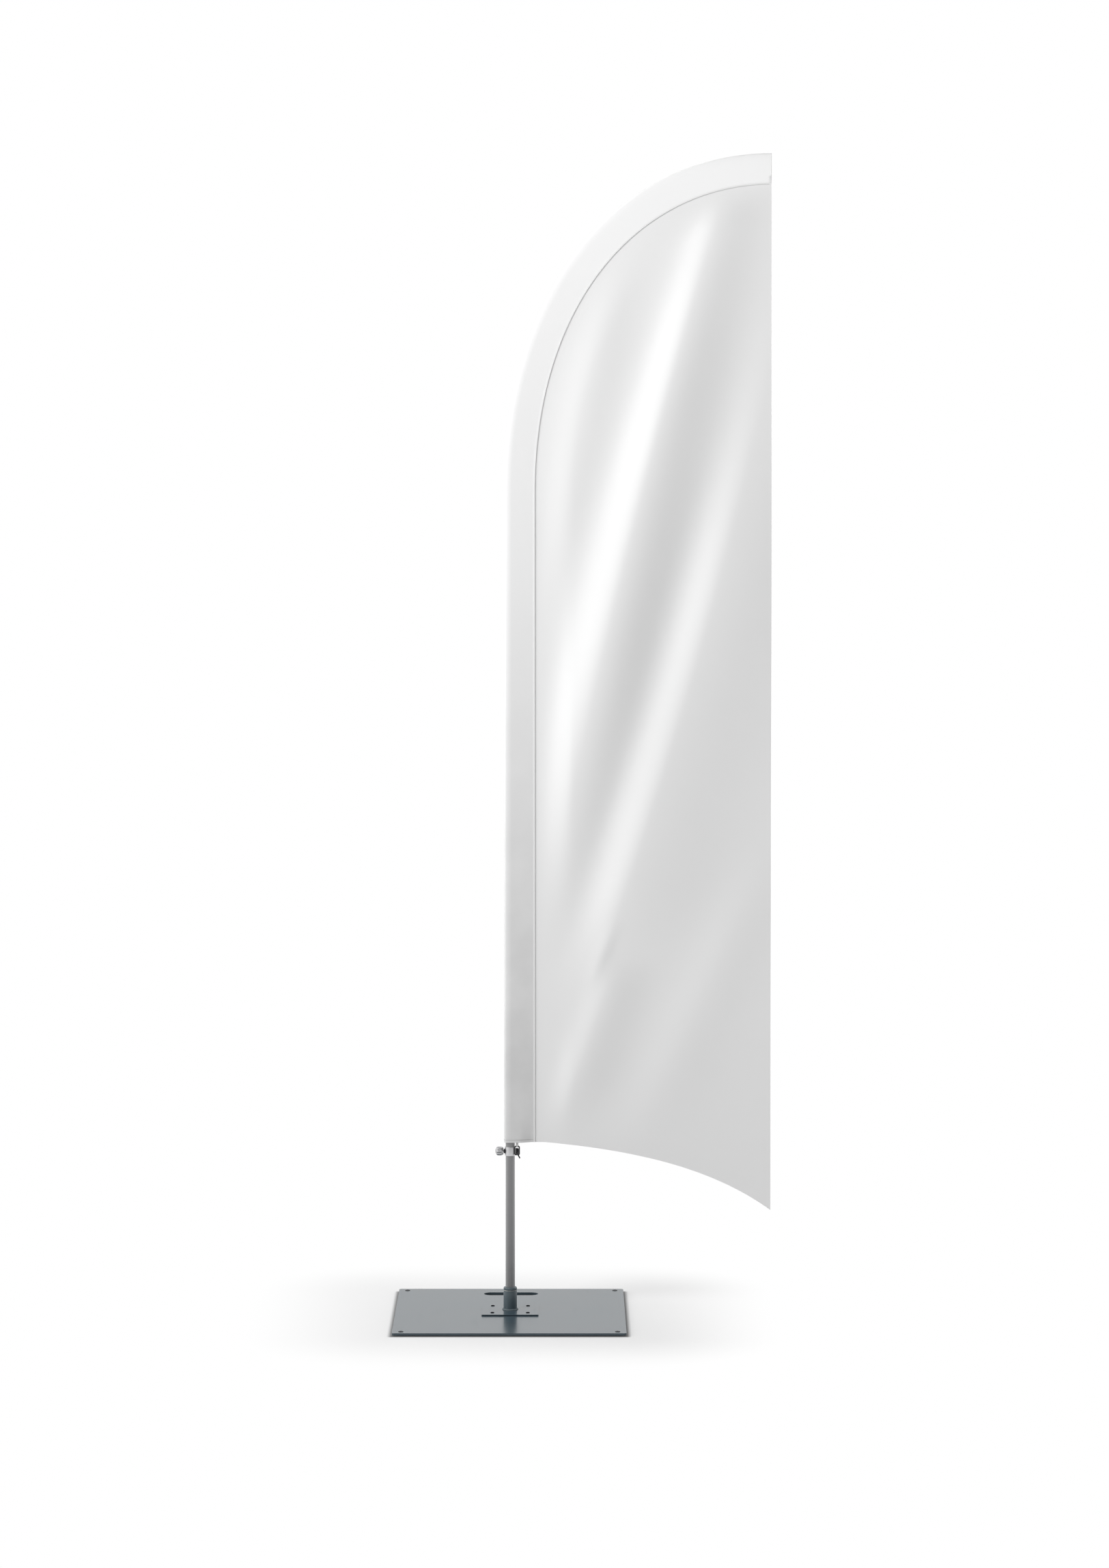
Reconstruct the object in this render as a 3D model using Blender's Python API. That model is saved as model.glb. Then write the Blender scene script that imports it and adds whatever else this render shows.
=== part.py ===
"""Feather flag with pole: a cloth on a whip mast that turns in the socket of a steel base plate.

Frame: the origin lies on the mast's axis, on the floor. +Z is up, +X points to the flag's free edge,
and -Y is the front. All sizes are metres. Touching pieces keep a gap of CONTACT_GAP.
"""

import math

import bmesh
import bpy
import numpy as np

CONTACT_GAP = 0.0003

# Base plate and its rubber mat
PLATE_SIDE = 0.500
PLATE_THICK = 0.0050
PLATE_CORNER_RADIUS = 0.006
PLATE_EDGE_BEVEL = 0.0005
MAT_SIDE = 0.484
MAT_THICK = 0.0017
HAND_SLOT_LENGTH = 0.120
HAND_SLOT_WIDTH = 0.033
HAND_SLOT_Y = 0.191
RIVET_SPACING = 0.462
RIVET_HEAD_RADIUS = 0.0056
RIVET_SHANK_RADIUS = 0.0032
RIVET_HEAD_HEIGHT = 0.0009

# Flange and its countersunk screws
FLANGE_SIDE = 0.124
FLANGE_THICK = 0.0025
FLANGE_EDGE_BEVEL = 0.0009
SCREW_SPACING = 0.077
SCREW_HEAD_RADIUS = 0.0044
SCREW_SHANK_RADIUS = 0.0022
SCREW_DOME_HEIGHT = 0.0014
HEXAGON_RADIUS = 0.0017
HEXAGON_DEPTH = 0.0016

# Socket, bushes and rotor
SOCKET_RADIUS = 0.0147
SOCKET_BORE_RADIUS = 0.0132
SOCKET_RIM_Z = 0.0516
BUSH_OUTER_RADIUS = 0.0128
BUSH_INNER_RADIUS = 0.0120
BUSH_HEIGHT = 0.010
SLEEVE_RADIUS = 0.0116
SLEEVE_BORE_RADIUS = 0.0108
SLEEVE_FOOT_Z = 0.0135
SLEEVE_FLOOR_Z = 0.0190
SLEEVE_TOP_Z = 0.0597
GROOVE_LOW_Z = SLEEVE_FOOT_Z + 0.0009
GROOVE_HIGH_Z = GROOVE_LOW_Z + 0.0017
GROOVE_DEPTH = 0.0010
CIRCLIP_STANDS_OUT = 0.0009
WASHER_THICK = 0.0008
BEAD_WIDTH = 0.0026

# Mast: distances are measured along its centre line from the floor
MAST_FOOT_RADIUS = 0.0104
MAST_FOOT = SLEEVE_FLOOR_Z + 0.0005
SECTION_ENDS = (0.700, 1.400, 2.100)
SECTION_END_RADII = (0.0098, 0.0066, 0.0042)
TIP_RADIUS = 0.0020
MAST_WALL = 0.0013
FERRULE_HALF_LENGTH = 0.060
SLEEVE_FERRULE_HALF_LENGTH = 0.040
TIP_CAP_LENGTH = 0.010
TIP_CAP_SPOTS = (0.0, 0.6, 0.9, 1.0)
TIP_CAP_RADII = (0.0030, 0.0030, 0.0023, 0.0011)

# Flag: the outer edge is a straight rise and then one Bezier arch to the top of the free edge
FLAG_EDGE_X = -0.0130
FLAG_WIDTH = 0.5798
FLAG_TOP_Z = 2.5256
FLAG_HEM_Z = 0.3758
FLAG_TIP_Z = 0.2269
ARCH_START_Z = 1.7938
ARCH_RISE_HANDLE = 0.4501
ARCH_TOP_HANDLE = 0.3210
POCKET_WIDTH = 0.0676
POCKET_HALF_THICK = 0.0115
POCKET_TIP_HALF_THICK = 0.0050
POCKET_FULL_TO = 0.032
POCKET_SEAM_HALF_THICK = 0.0012
POCKET_WALL = 0.0008
PANEL_THICK = 0.0012
HEM_FLAT_TO = 0.0899
HEM_LEFT_HANDLE = 0.1453
HEM_LEFT_SLOPE = 0.087
HEM_RIGHT_HANDLE = 0.1464
HEM_RIGHT_SLOPE = 0.732
POLE_INSET_TIP = 0.0100
POLE_END_CLEARANCE = 0.030

# Tension collar, its hook and ring, and the elastic strap
COLLAR_BOTTOM_Z = 0.3465
COLLAR_HEIGHT = 0.0193
COLLAR_RADIUS = 0.0116
COLLAR_BORE_RADIUS = 0.0105
COLLAR_EDGE = 0.0005
HOOK_WIRE_RADIUS = 0.0015
HOOK_FOOT_Z = 0.3560
HOOK_FOOT_PROFILE = ((0.0066, 0.0119), (0.0066, 0.0160), (0.0056, 0.0180), (0.0030, 0.0190))
HOOK_CORNERS = (
    (0.0150, -0.0030, 0.3552),
    (0.0154, -0.0062, 0.3548),
    (0.0160, -0.0090, 0.3538),
    (0.0170, -0.0122, 0.3512),
    (0.0190, -0.0131, 0.3466),
    (0.0214, -0.0131, 0.3420),
)
RING_CENTRE_X = 0.0150
RING_Y = -0.0086
RING_HALF_WIDTH = 0.0048
RING_BOTTOM_Z = 0.3495
RING_TOP_Z = 0.3680
RING_WIRE_RADIUS = 0.0015
RING_CORNER_RADIUS = 0.0024
STRAP_CENTRE_X = RING_CENTRE_X
STRAP_WIDTH = 0.0052
STRAP_THICK = 0.0007
STRAP_TOP_Z = 0.4300
ANCHOR_HEIGHT = 0.016

# Thumb screw: its axis runs along X through the collar's left side
KNOB_Z = 0.3562
KNOB_START_X = -0.0147
KNOB_END_X = -0.0307
KNOB_RADIUS = 0.0096
KNOB_FLUTES = 8
KNOB_FLUTE_DEPTH = 0.12
KNOB_NECK_RADII = (0.0074, 0.0084)
KNOB_CAP_RADII = (0.0046, 0.0046, 0.0038)
KNOB_CAP_STEP = 0.0004
BOSS_RADIUS = 0.0048
BOSS_END_X = -0.0142
STUD_RADIUS = 0.0025
STUD_HOLE_RADIUS = 0.0029
STUD_TIP_X = -0.0124
STUD_END_X = -0.0245
PAD_TIP_X = -0.0105

# Heights that follow from the stack on the floor
PLATE_BOTTOM_Z = MAT_THICK + CONTACT_GAP
PLATE_TOP_Z = PLATE_BOTTOM_Z + PLATE_THICK
FLANGE_BOTTOM_Z = PLATE_TOP_Z + CONTACT_GAP
FLANGE_TOP_Z = FLANGE_BOTTOM_Z + FLANGE_THICK
SOCKET_FOOT_Z = FLANGE_TOP_Z + CONTACT_GAP

ROUND_SIDES = 32
MAST_SIDES = 16


# ---------------------------------------------------------------- materials and objects

def make_material(name, colour, roughness, metallic=0.0):
    """A plain Principled material."""
    material = bpy.data.materials.new(name)
    material.use_nodes = True
    shader = material.node_tree.nodes["Principled BSDF"]
    shader.inputs["Base Color"].default_value = (*colour, 1.0)
    shader.inputs["Roughness"].default_value = roughness
    shader.inputs["Metallic"].default_value = metallic
    return material


def add_object(name, mesh_parts, material, parent=None):
    """An object from (points, faces), with its normals turned outwards and its round faces smooth."""
    points, faces = mesh_parts
    mesh = bpy.data.meshes.new(name)
    mesh.from_pydata([tuple(point) for point in points], [], faces)
    work = bmesh.new()
    work.from_mesh(mesh)
    bmesh.ops.recalc_face_normals(work, faces=work.faces)
    work.to_mesh(mesh)
    work.free()
    mesh.shade_smooth()
    mesh.set_sharp_from_angle(angle=math.radians(35))
    mesh.materials.append(material)
    piece = bpy.data.objects.new(name, mesh)
    bpy.context.collection.objects.link(piece)
    if parent is not None:
        attach(piece, parent)
    return piece


def add_axis(name, location, parent=None):
    """An empty on a joint's axis, which the moving pieces hang from."""
    axis = bpy.data.objects.new(name, None)
    axis.empty_display_size = 0.03
    axis.location = location
    bpy.context.collection.objects.link(axis)
    if parent is not None:
        attach(axis, parent)
    return axis


def attach(child, parent):
    """Parent a child and keep it where it is."""
    bpy.context.view_layer.update()
    child.parent = parent
    child.matrix_parent_inverse = parent.matrix_world.inverted()


def cut(piece, cutter):
    """Cut one piece with a hidden cutter."""
    cutter.hide_render = True
    cutter.display_type = "WIRE"
    boolean = piece.modifiers.new("cut_" + cutter.name, "BOOLEAN")
    boolean.operation = "DIFFERENCE"
    boolean.object = cutter


# ---------------------------------------------------------------- shapes

def stack_rings(rings, loop=False):
    """Skin a row of equal rings. The ends are capped, or joined to each other if loop is set."""
    rings = np.asarray(rings, float)
    count, sides = rings.shape[:2]
    faces = []
    for ring in range(count if loop else count - 1):
        first = ring * sides
        second = (ring + 1) % count * sides
        for side in range(sides):
            nearby = (side + 1) % sides
            faces.append((first + side, first + nearby, second + nearby, second + side))
    if not loop:
        faces.append(tuple(range(sides)))
        faces.append(tuple(range((count - 1) * sides, count * sides)))
    return rings.reshape(-1, 3), faces


def turned(profile, centre=(0.0, 0.0), axis="Z", sides=ROUND_SIDES, loop=False):
    """A turned piece. The profile lists (radius, distance along the axis)."""
    angles = np.arange(sides) * 2 * math.pi / sides
    rings = []
    for radius, along in profile:
        across = radius * np.cos(angles) + centre[0]
        upward = radius * np.sin(angles) + centre[1]
        level = np.full(sides, along)
        if axis == "Z":
            rings.append(np.stack([across, upward, level], 1))
        else:
            rings.append(np.stack([level, across, upward], 1))
    return stack_rings(rings, loop)


def ring_profile(inner, outer, low, high):
    """The closed profile of a plain ring."""
    return [(outer, low), (outer, high), (inner, high), (inner, low)]


def prism(outline, low, high):
    """A flat outline in X and Y, raised from one height to another."""
    flat = np.asarray(outline, float)
    rings = [np.column_stack([flat, np.full(len(flat), height)]) for height in (low, high)]
    return stack_rings(rings)


def rounded_rectangle(width, length, radius, steps=6, centre=(0.0, 0.0)):
    """The outline of a rectangle with round corners."""
    points = []
    for quarter in range(4):
        start = quarter * math.pi / 2
        corner_x = (width / 2 - radius) * (1 if quarter in (0, 3) else -1)
        corner_y = (length / 2 - radius) * (1 if quarter in (0, 1) else -1)
        for step in range(steps + 1):
            angle = start + step * math.pi / 2 / steps
            points.append((
                centre[0] + corner_x + radius * math.cos(angle),
                centre[1] + corner_y + radius * math.sin(angle),
            ))
    return points


def bar(name, points, radius, material, parent=None, cyclic=False):
    """A round bar along a row of points."""
    curve = bpy.data.curves.new(name, "CURVE")
    curve.dimensions = "3D"
    curve.bevel_depth = radius
    curve.bevel_resolution = 2
    curve.use_fill_caps = not cyclic
    spline = curve.splines.new("POLY")
    spline.points.add(len(points) - 1)
    for spot, point in zip(spline.points, points):
        spot.co = (*point, 1.0)
    spline.use_cyclic_u = cyclic
    curve.materials.append(material)
    piece = bpy.data.objects.new(name, curve)
    bpy.context.collection.objects.link(piece)
    if parent is not None:
        attach(piece, parent)
    return piece


def bar_guide(name, bar_object):
    """A hidden mesh in place of a bar, to join to another piece."""
    mesh = bpy.data.meshes.new_from_object(bar_object)
    bpy.data.objects.remove(bar_object, do_unlink=True)
    work = bmesh.new()
    work.from_mesh(mesh)
    bmesh.ops.remove_doubles(work, verts=work.verts, dist=1e-6)
    work.to_mesh(mesh)
    work.free()
    guide = bpy.data.objects.new(name, mesh)
    bpy.context.collection.objects.link(guide)
    guide.hide_render = True
    guide.display_type = "WIRE"
    return guide


def smooth_through(corners, steps=4):
    """A Catmull-Rom curve through a few corner points."""
    corners = np.asarray(corners, float)
    padded = np.vstack([2 * corners[0] - corners[1], corners, 2 * corners[-1] - corners[-2]])
    points = []
    for index in range(1, len(padded) - 2):
        before, start, end, after = padded[index - 1:index + 3]
        for step in range(steps):
            t = step / steps
            points.append(0.5 * (
                2 * start
                + (end - before) * t
                + (2 * before - 5 * start + 4 * end - after) * t ** 2
                + (3 * start - before - 3 * end + after) * t ** 3
            ))
    points.append(corners[-1])
    return points


def bezier(start, handle_a, handle_b, end, t):
    """Points of a cubic Bezier at the parameters t."""
    t = np.asarray(t, float)[:, None]
    corners = [np.asarray(point, float) for point in (start, handle_a, handle_b, end)]
    return (
        (1 - t) ** 3 * corners[0]
        + 3 * (1 - t) ** 2 * t * corners[1]
        + 3 * (1 - t) * t ** 2 * corners[2]
        + t ** 3 * corners[3]
    )


# ---------------------------------------------------------------- the flag's outline and the pole's line

FREE_EDGE_X = FLAG_EDGE_X + FLAG_WIDTH


def outer_edge(low_z, rise_steps, arch_steps):
    """The flag's outer edge in X and Z from low_z up over the arch, with the inward normals."""
    rise = np.column_stack([
        np.full(rise_steps, FLAG_EDGE_X),
        np.linspace(low_z, ARCH_START_Z, rise_steps, endpoint=False),
    ])
    arch = bezier(
        (FLAG_EDGE_X, ARCH_START_Z),
        (FLAG_EDGE_X, ARCH_START_Z + ARCH_RISE_HANDLE),
        (FREE_EDGE_X - ARCH_TOP_HANDLE, FLAG_TOP_Z),
        (FREE_EDGE_X, FLAG_TOP_Z),
        np.linspace(0, 1, arch_steps + 1),
    )
    line = np.vstack([rise, arch])
    ahead = np.gradient(line, axis=0)
    ahead[:rise_steps + 1] = (0, 1)
    ahead[-1] = (1, 0)
    ahead /= np.linalg.norm(ahead, axis=1)[:, None]
    inward = np.column_stack([ahead[:, 1], -ahead[:, 0]])
    return line, inward


def pole_line():
    """The pole's centre line from the floor to its end, and the distance along it."""
    line, inward = outer_edge(0.0, 60, 160)
    arch_share = np.clip((line[:, 1] - ARCH_START_Z) / (FLAG_TOP_Z - ARCH_START_Z), 0, 1)
    inset = -FLAG_EDGE_X + (POLE_INSET_TIP + FLAG_EDGE_X) * arch_share
    centre = line + inward * inset[:, None]
    along = np.concatenate([[0], np.cumsum(np.linalg.norm(np.diff(centre, axis=0), axis=1))])
    return centre, along


POLE_LINE, POLE_ALONG = pole_line()
POLE_END = float(POLE_ALONG[-1]) - POLE_END_CLEARANCE


def pole_radius(distance):
    """The outer radius of the pole at a distance along it."""
    stations = (MAST_FOOT, *SECTION_ENDS, POLE_END)
    radii = (MAST_FOOT_RADIUS, *SECTION_END_RADII, TIP_RADIUS)
    return float(np.interp(distance, stations, radii))


def pole_rings(distances, radii):
    """Rings round the pole's line at the given distances."""
    angles = np.arange(MAST_SIDES) * 2 * math.pi / MAST_SIDES
    rings = []
    for distance, radius in zip(distances, radii):
        centre_x = np.interp(distance, POLE_ALONG, POLE_LINE[:, 0])
        centre_z = np.interp(distance, POLE_ALONG, POLE_LINE[:, 1])
        step = 0.002
        ahead_x = np.interp(distance + step, POLE_ALONG, POLE_LINE[:, 0]) - np.interp(
            distance - step, POLE_ALONG, POLE_LINE[:, 0]
        )
        ahead_z = np.interp(distance + step, POLE_ALONG, POLE_LINE[:, 1]) - np.interp(
            distance - step, POLE_ALONG, POLE_LINE[:, 1]
        )
        length = math.hypot(ahead_x, ahead_z)
        side_x = ahead_z / length
        side_z = -ahead_x / length
        across = radius * np.cos(angles)
        rings.append(np.stack([
            centre_x + across * side_x,
            radius * np.sin(angles),
            centre_z + across * side_z,
        ], 1))
    return rings


def pole_tube(start, end, steps, wall=None):
    """A tapered stretch of the pole, hollow if a wall is given."""
    distances = np.linspace(start, end, steps + 1)
    radii = np.array([pole_radius(distance) for distance in distances])
    rings = pole_rings(distances, radii)
    if wall is None:
        return stack_rings(rings)
    inside = pole_rings(distances[::-1], (radii - wall)[::-1])
    return stack_rings(rings + inside, loop=True)


def pocket_section(half_thick, shrink=0.0):
    """The pocket's cross section: a round nose over the pole, then a slope to the seam."""
    nose = -FLAG_EDGE_X
    angles = np.linspace(0, math.pi / 2, 5)
    front = [(nose * (1 - math.cos(angle)), half_thick * math.sin(angle)) for angle in angles]
    front.append((POCKET_FULL_TO, half_thick))
    slope = POCKET_WIDTH - POCKET_FULL_TO
    for share in (0.3, 0.6, 0.85):
        drop = (1 - math.cos(share * math.pi)) / 2
        thick = half_thick + (POCKET_SEAM_HALF_THICK - half_thick) * drop
        front.append((POCKET_FULL_TO + share * slope, thick))
    front.append((POCKET_WIDTH, POCKET_SEAM_HALF_THICK))
    front = np.array(front)
    if shrink:
        front[:, 0] = shrink + front[:, 0] * (POCKET_WIDTH - 3 * shrink) / POCKET_WIDTH
        front[1:, 1] -= shrink
        front[:, 1] = np.maximum(front[:, 1], 0)
        front[-1, 1] = POCKET_SEAM_HALF_THICK - shrink
    back = front[:0:-1] * (1, -1)
    return np.vstack([front, back])


# ---------------------------------------------------------------- sub-assemblies

def build_base(finish):
    """The mat, plate, rivets, flange, screws, socket and what sits in it. They all stand still."""
    mat = add_object(
        "rubber_mat",
        prism(rounded_rectangle(MAT_SIDE, MAT_SIDE, PLATE_CORNER_RADIUS), 0, MAT_THICK),
        finish["rubber"],
    )
    plate = add_object(
        "base_plate",
        prism(
            rounded_rectangle(PLATE_SIDE, PLATE_SIDE, PLATE_CORNER_RADIUS),
            PLATE_BOTTOM_Z,
            PLATE_TOP_Z,
        ),
        finish["grey_paint"],
    )
    bevel = plate.modifiers.new("soft_edges", "BEVEL")
    bevel.width = PLATE_EDGE_BEVEL
    bevel.segments = 2
    bevel.limit_method = "ANGLE"
    slot_outline = rounded_rectangle(
        HAND_SLOT_LENGTH, HAND_SLOT_WIDTH, HAND_SLOT_WIDTH / 2 - 0.0001, 8, (0, HAND_SLOT_Y)
    )
    slot = add_object("slot_cutter", prism(slot_outline, -0.01, 0.02), finish["rubber"])
    cut(plate, slot)
    cut(mat, slot)

    flange = add_object(
        "flange_plate",
        prism(
            rounded_rectangle(FLANGE_SIDE, FLANGE_SIDE, PLATE_CORNER_RADIUS / 2, 4),
            FLANGE_BOTTOM_Z,
            FLANGE_TOP_Z,
        ),
        finish["grey_paint"],
    )
    chamfer = flange.modifiers.new("chamfer", "BEVEL")
    chamfer.width = FLANGE_EDGE_BEVEL
    chamfer.segments = 1
    chamfer.limit_method = "ANGLE"
    middle = add_object(
        "middle_cutter",
        turned([(SOCKET_BORE_RADIUS, PLATE_BOTTOM_Z - 0.0002), (SOCKET_BORE_RADIUS, 0.02)]),
        finish["rubber"],
    )
    cut(plate, middle)
    cut(flange, middle)

    corner = 0
    for side_x in (-1, 1):
        for side_y in (-1, 1):
            corner += 1
            build_rivet(corner, side_x, side_y, plate, mat, finish)
            build_flange_screw(corner, side_x, side_y, plate, flange, finish)

    add_object(
        "socket_tube",
        turned([
            (SOCKET_RADIUS, SOCKET_FOOT_Z),
            (SOCKET_RADIUS, SOCKET_RIM_Z - 0.0006),
            (SOCKET_RADIUS - 0.0006, SOCKET_RIM_Z),
            (SOCKET_BORE_RADIUS, SOCKET_RIM_Z),
            (SOCKET_BORE_RADIUS, SOCKET_FOOT_Z),
        ], loop=True),
        finish["dark_paint"],
    )
    bead_inner = SOCKET_RADIUS + CONTACT_GAP
    add_object(
        "weld_bead",
        turned([
            (bead_inner, SOCKET_FOOT_Z),
            (bead_inner + BEAD_WIDTH, SOCKET_FOOT_Z),
            (bead_inner + BEAD_WIDTH * 0.55, SOCKET_FOOT_Z + BEAD_WIDTH * 0.55),
            (bead_inner, SOCKET_FOOT_Z + BEAD_WIDTH * 1.08),
        ], loop=True),
        finish["dark_paint"],
    )
    lower_bush_z = SLEEVE_FOOT_Z + 0.0030
    upper_bush_z = SOCKET_RIM_Z - BUSH_HEIGHT - 0.0006
    for name, low in (("lower_bush", lower_bush_z), ("upper_bush", upper_bush_z)):
        add_object(
            name,
            turned(ring_profile(BUSH_INNER_RADIUS, BUSH_OUTER_RADIUS, low, low + BUSH_HEIGHT), loop=True),
            finish["nylon"],
        )
    washer_low = SOCKET_RIM_Z + CONTACT_GAP
    add_object(
        "thrust_washer",
        turned(
            ring_profile(BUSH_INNER_RADIUS, SOCKET_RADIUS - 0.0006, washer_low, washer_low + WASHER_THICK),
            loop=True,
        ),
        finish["nylon"],
    )


def build_rivet(number, side_x, side_y, plate, mat, finish):
    """One push rivet at a corner, with the hole that it fills."""
    centre = (side_x * RIVET_SPACING / 2, side_y * RIVET_SPACING / 2)
    hole_radius = RIVET_SHANK_RADIUS + 0.0004
    hole = add_object(
        "rivet_cutter_%d" % number,
        turned([(hole_radius, -0.01), (hole_radius, 0.02)], centre, sides=16),
        finish["rubber"],
    )
    cut(plate, hole)
    cut(mat, hole)
    head_z = PLATE_TOP_Z + CONTACT_GAP
    add_object(
        "mat_rivet_%d" % number,
        turned([
            (RIVET_SHANK_RADIUS, 0.0004),
            (RIVET_SHANK_RADIUS, head_z),
            (RIVET_HEAD_RADIUS, head_z),
            (RIVET_HEAD_RADIUS - 0.0004, head_z + RIVET_HEAD_HEIGHT * 0.6),
            (RIVET_HEAD_RADIUS * 0.6, head_z + RIVET_HEAD_HEIGHT),
        ], centre, sides=16),
        finish["black_plastic"],
    )


def build_flange_screw(number, side_x, side_y, plate, flange, finish):
    """One countersunk screw with a hexagon socket, and the holes that it fills."""
    centre = (side_x * SCREW_SPACING / 2, side_y * SCREW_SPACING / 2)
    cone = SCREW_HEAD_RADIUS - SCREW_SHANK_RADIUS
    clearance = 0.0004
    top_z = FLANGE_TOP_Z - 0.0002
    hole = add_object(
        "screw_cutter_%d" % number,
        turned([
            (SCREW_SHANK_RADIUS + clearance, PLATE_BOTTOM_Z + 0.0010),
            (SCREW_SHANK_RADIUS + clearance, top_z - cone),
            (SCREW_HEAD_RADIUS + clearance, top_z),
            (SCREW_HEAD_RADIUS + clearance, top_z + 0.01),
        ], centre, sides=16),
        finish["rubber"],
    )
    cut(plate, hole)
    cut(flange, hole)
    screw = add_object(
        "flange_screw_%d" % number,
        turned([
            (SCREW_SHANK_RADIUS, PLATE_BOTTOM_Z + 0.0014),
            (SCREW_SHANK_RADIUS, top_z - cone),
            (SCREW_HEAD_RADIUS, top_z),
            (SCREW_HEAD_RADIUS * 0.93, top_z + SCREW_DOME_HEIGHT * 0.6),
            (SCREW_HEAD_RADIUS * 0.72, top_z + SCREW_DOME_HEIGHT),
        ], centre, sides=16),
        finish["black_steel"],
    )
    hexagon = add_object(
        "hexagon_cutter_%d" % number,
        turned([(HEXAGON_RADIUS, top_z - HEXAGON_DEPTH), (HEXAGON_RADIUS, top_z + 0.01)], centre, sides=6),
        finish["rubber"],
    )
    cut(screw, hexagon)


def build_rotor(finish):
    """The sleeve that turns in the socket, with its cap, and the circlip that keeps it in."""
    rotor_axis = add_axis("mast_turn_axis", (0, 0, SLEEVE_FOOT_Z))
    cap_z = SOCKET_RIM_Z + WASHER_THICK + 2 * CONTACT_GAP
    add_object(
        "rotor_sleeve",
        turned([
            (SLEEVE_RADIUS, SLEEVE_FOOT_Z),
            (SLEEVE_RADIUS, GROOVE_LOW_Z),
            (SLEEVE_RADIUS - GROOVE_DEPTH, GROOVE_LOW_Z),
            (SLEEVE_RADIUS - GROOVE_DEPTH, GROOVE_HIGH_Z),
            (SLEEVE_RADIUS, GROOVE_HIGH_Z),
            (SLEEVE_RADIUS, cap_z),
            (SOCKET_RADIUS, cap_z),
            (SOCKET_RADIUS, SLEEVE_TOP_Z - 0.0026),
            (SOCKET_RADIUS - 0.0008, SLEEVE_TOP_Z - 0.0008),
            (SOCKET_RADIUS - 0.0024, SLEEVE_TOP_Z),
            (SLEEVE_BORE_RADIUS + 0.0006, SLEEVE_TOP_Z),
            (SLEEVE_BORE_RADIUS, SLEEVE_TOP_Z - 0.0006),
            (SLEEVE_BORE_RADIUS, SLEEVE_FLOOR_Z),
        ]),
        finish["dark_paint"],
        rotor_axis,
    )
    clip_profile = ring_profile(
        SLEEVE_RADIUS - GROOVE_DEPTH + 0.0004,
        SLEEVE_RADIUS + CIRCLIP_STANDS_OUT,
        GROOVE_LOW_Z + CONTACT_GAP,
        GROOVE_HIGH_Z - CONTACT_GAP,
    )
    add_object("circlip", turned(clip_profile, loop=True), finish["bright_steel"], rotor_axis)
    return rotor_axis


def build_mast(finish, rotor_axis):
    """The plug-in pole sections with their ferrules, foot plug and tip cap."""
    mast_axis = add_axis("mast_lift_axis", (0, 0, MAST_FOOT), rotor_axis)
    plug_radius = MAST_FOOT_RADIUS - MAST_WALL - CONTACT_GAP - 0.0003
    add_object(
        "foot_plug",
        turned([(plug_radius, MAST_FOOT), (plug_radius - 0.0002, MAST_FOOT + 0.022)], sides=MAST_SIDES),
        finish["black_plastic"],
        mast_axis,
    )
    first, second, third = SECTION_ENDS
    add_object(
        "lower_mast",
        pole_tube(MAST_FOOT, first, 8, MAST_WALL),
        finish["aluminium"],
        mast_axis,
    )
    add_object(
        "second_mast",
        pole_tube(first + CONTACT_GAP, second, 8, MAST_WALL),
        finish["aluminium"],
        mast_axis,
    )
    add_object(
        "third_mast",
        pole_tube(second + CONTACT_GAP, third, 14, MAST_WALL),
        finish["fibreglass"],
        mast_axis,
    )
    add_object(
        "tip_rod",
        pole_tube(third + CONTACT_GAP, POLE_END, 16),
        finish["fibreglass"],
        mast_axis,
    )
    for number, joint in ((1, first), (2, second)):
        spigot_radius = pole_radius(joint) - MAST_WALL - 2 * CONTACT_GAP
        low = joint - FERRULE_HALF_LENGTH
        high = joint + FERRULE_HALF_LENGTH
        top_radius = pole_radius(high) - MAST_WALL - 2 * CONTACT_GAP
        add_object(
            "ferrule_%d" % number,
            stack_rings(pole_rings((low, joint, high), (spigot_radius, spigot_radius, top_radius))),
            finish["bright_steel"],
            mast_axis,
        )
    sleeve_spots = third + SLEEVE_FERRULE_HALF_LENGTH * np.linspace(-1, 1, 5)
    sleeve_inner = [pole_radius(third - SLEEVE_FERRULE_HALF_LENGTH) + 0.0004] * 5
    sleeve_outer = [sleeve_inner[0] + 0.0008] * 5
    outside = pole_rings(sleeve_spots, sleeve_outer)
    inside = pole_rings(sleeve_spots[::-1], sleeve_inner)
    add_object("ferrule_3", stack_rings(outside + inside, loop=True), finish["brass"], mast_axis)
    cap_start = POLE_END + CONTACT_GAP
    cap_spots = cap_start + TIP_CAP_LENGTH * np.array(TIP_CAP_SPOTS)
    add_object(
        "tip_cap",
        stack_rings(pole_rings(cap_spots, TIP_CAP_RADII)),
        finish["black_plastic"],
        mast_axis,
    )
    return mast_axis


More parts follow.
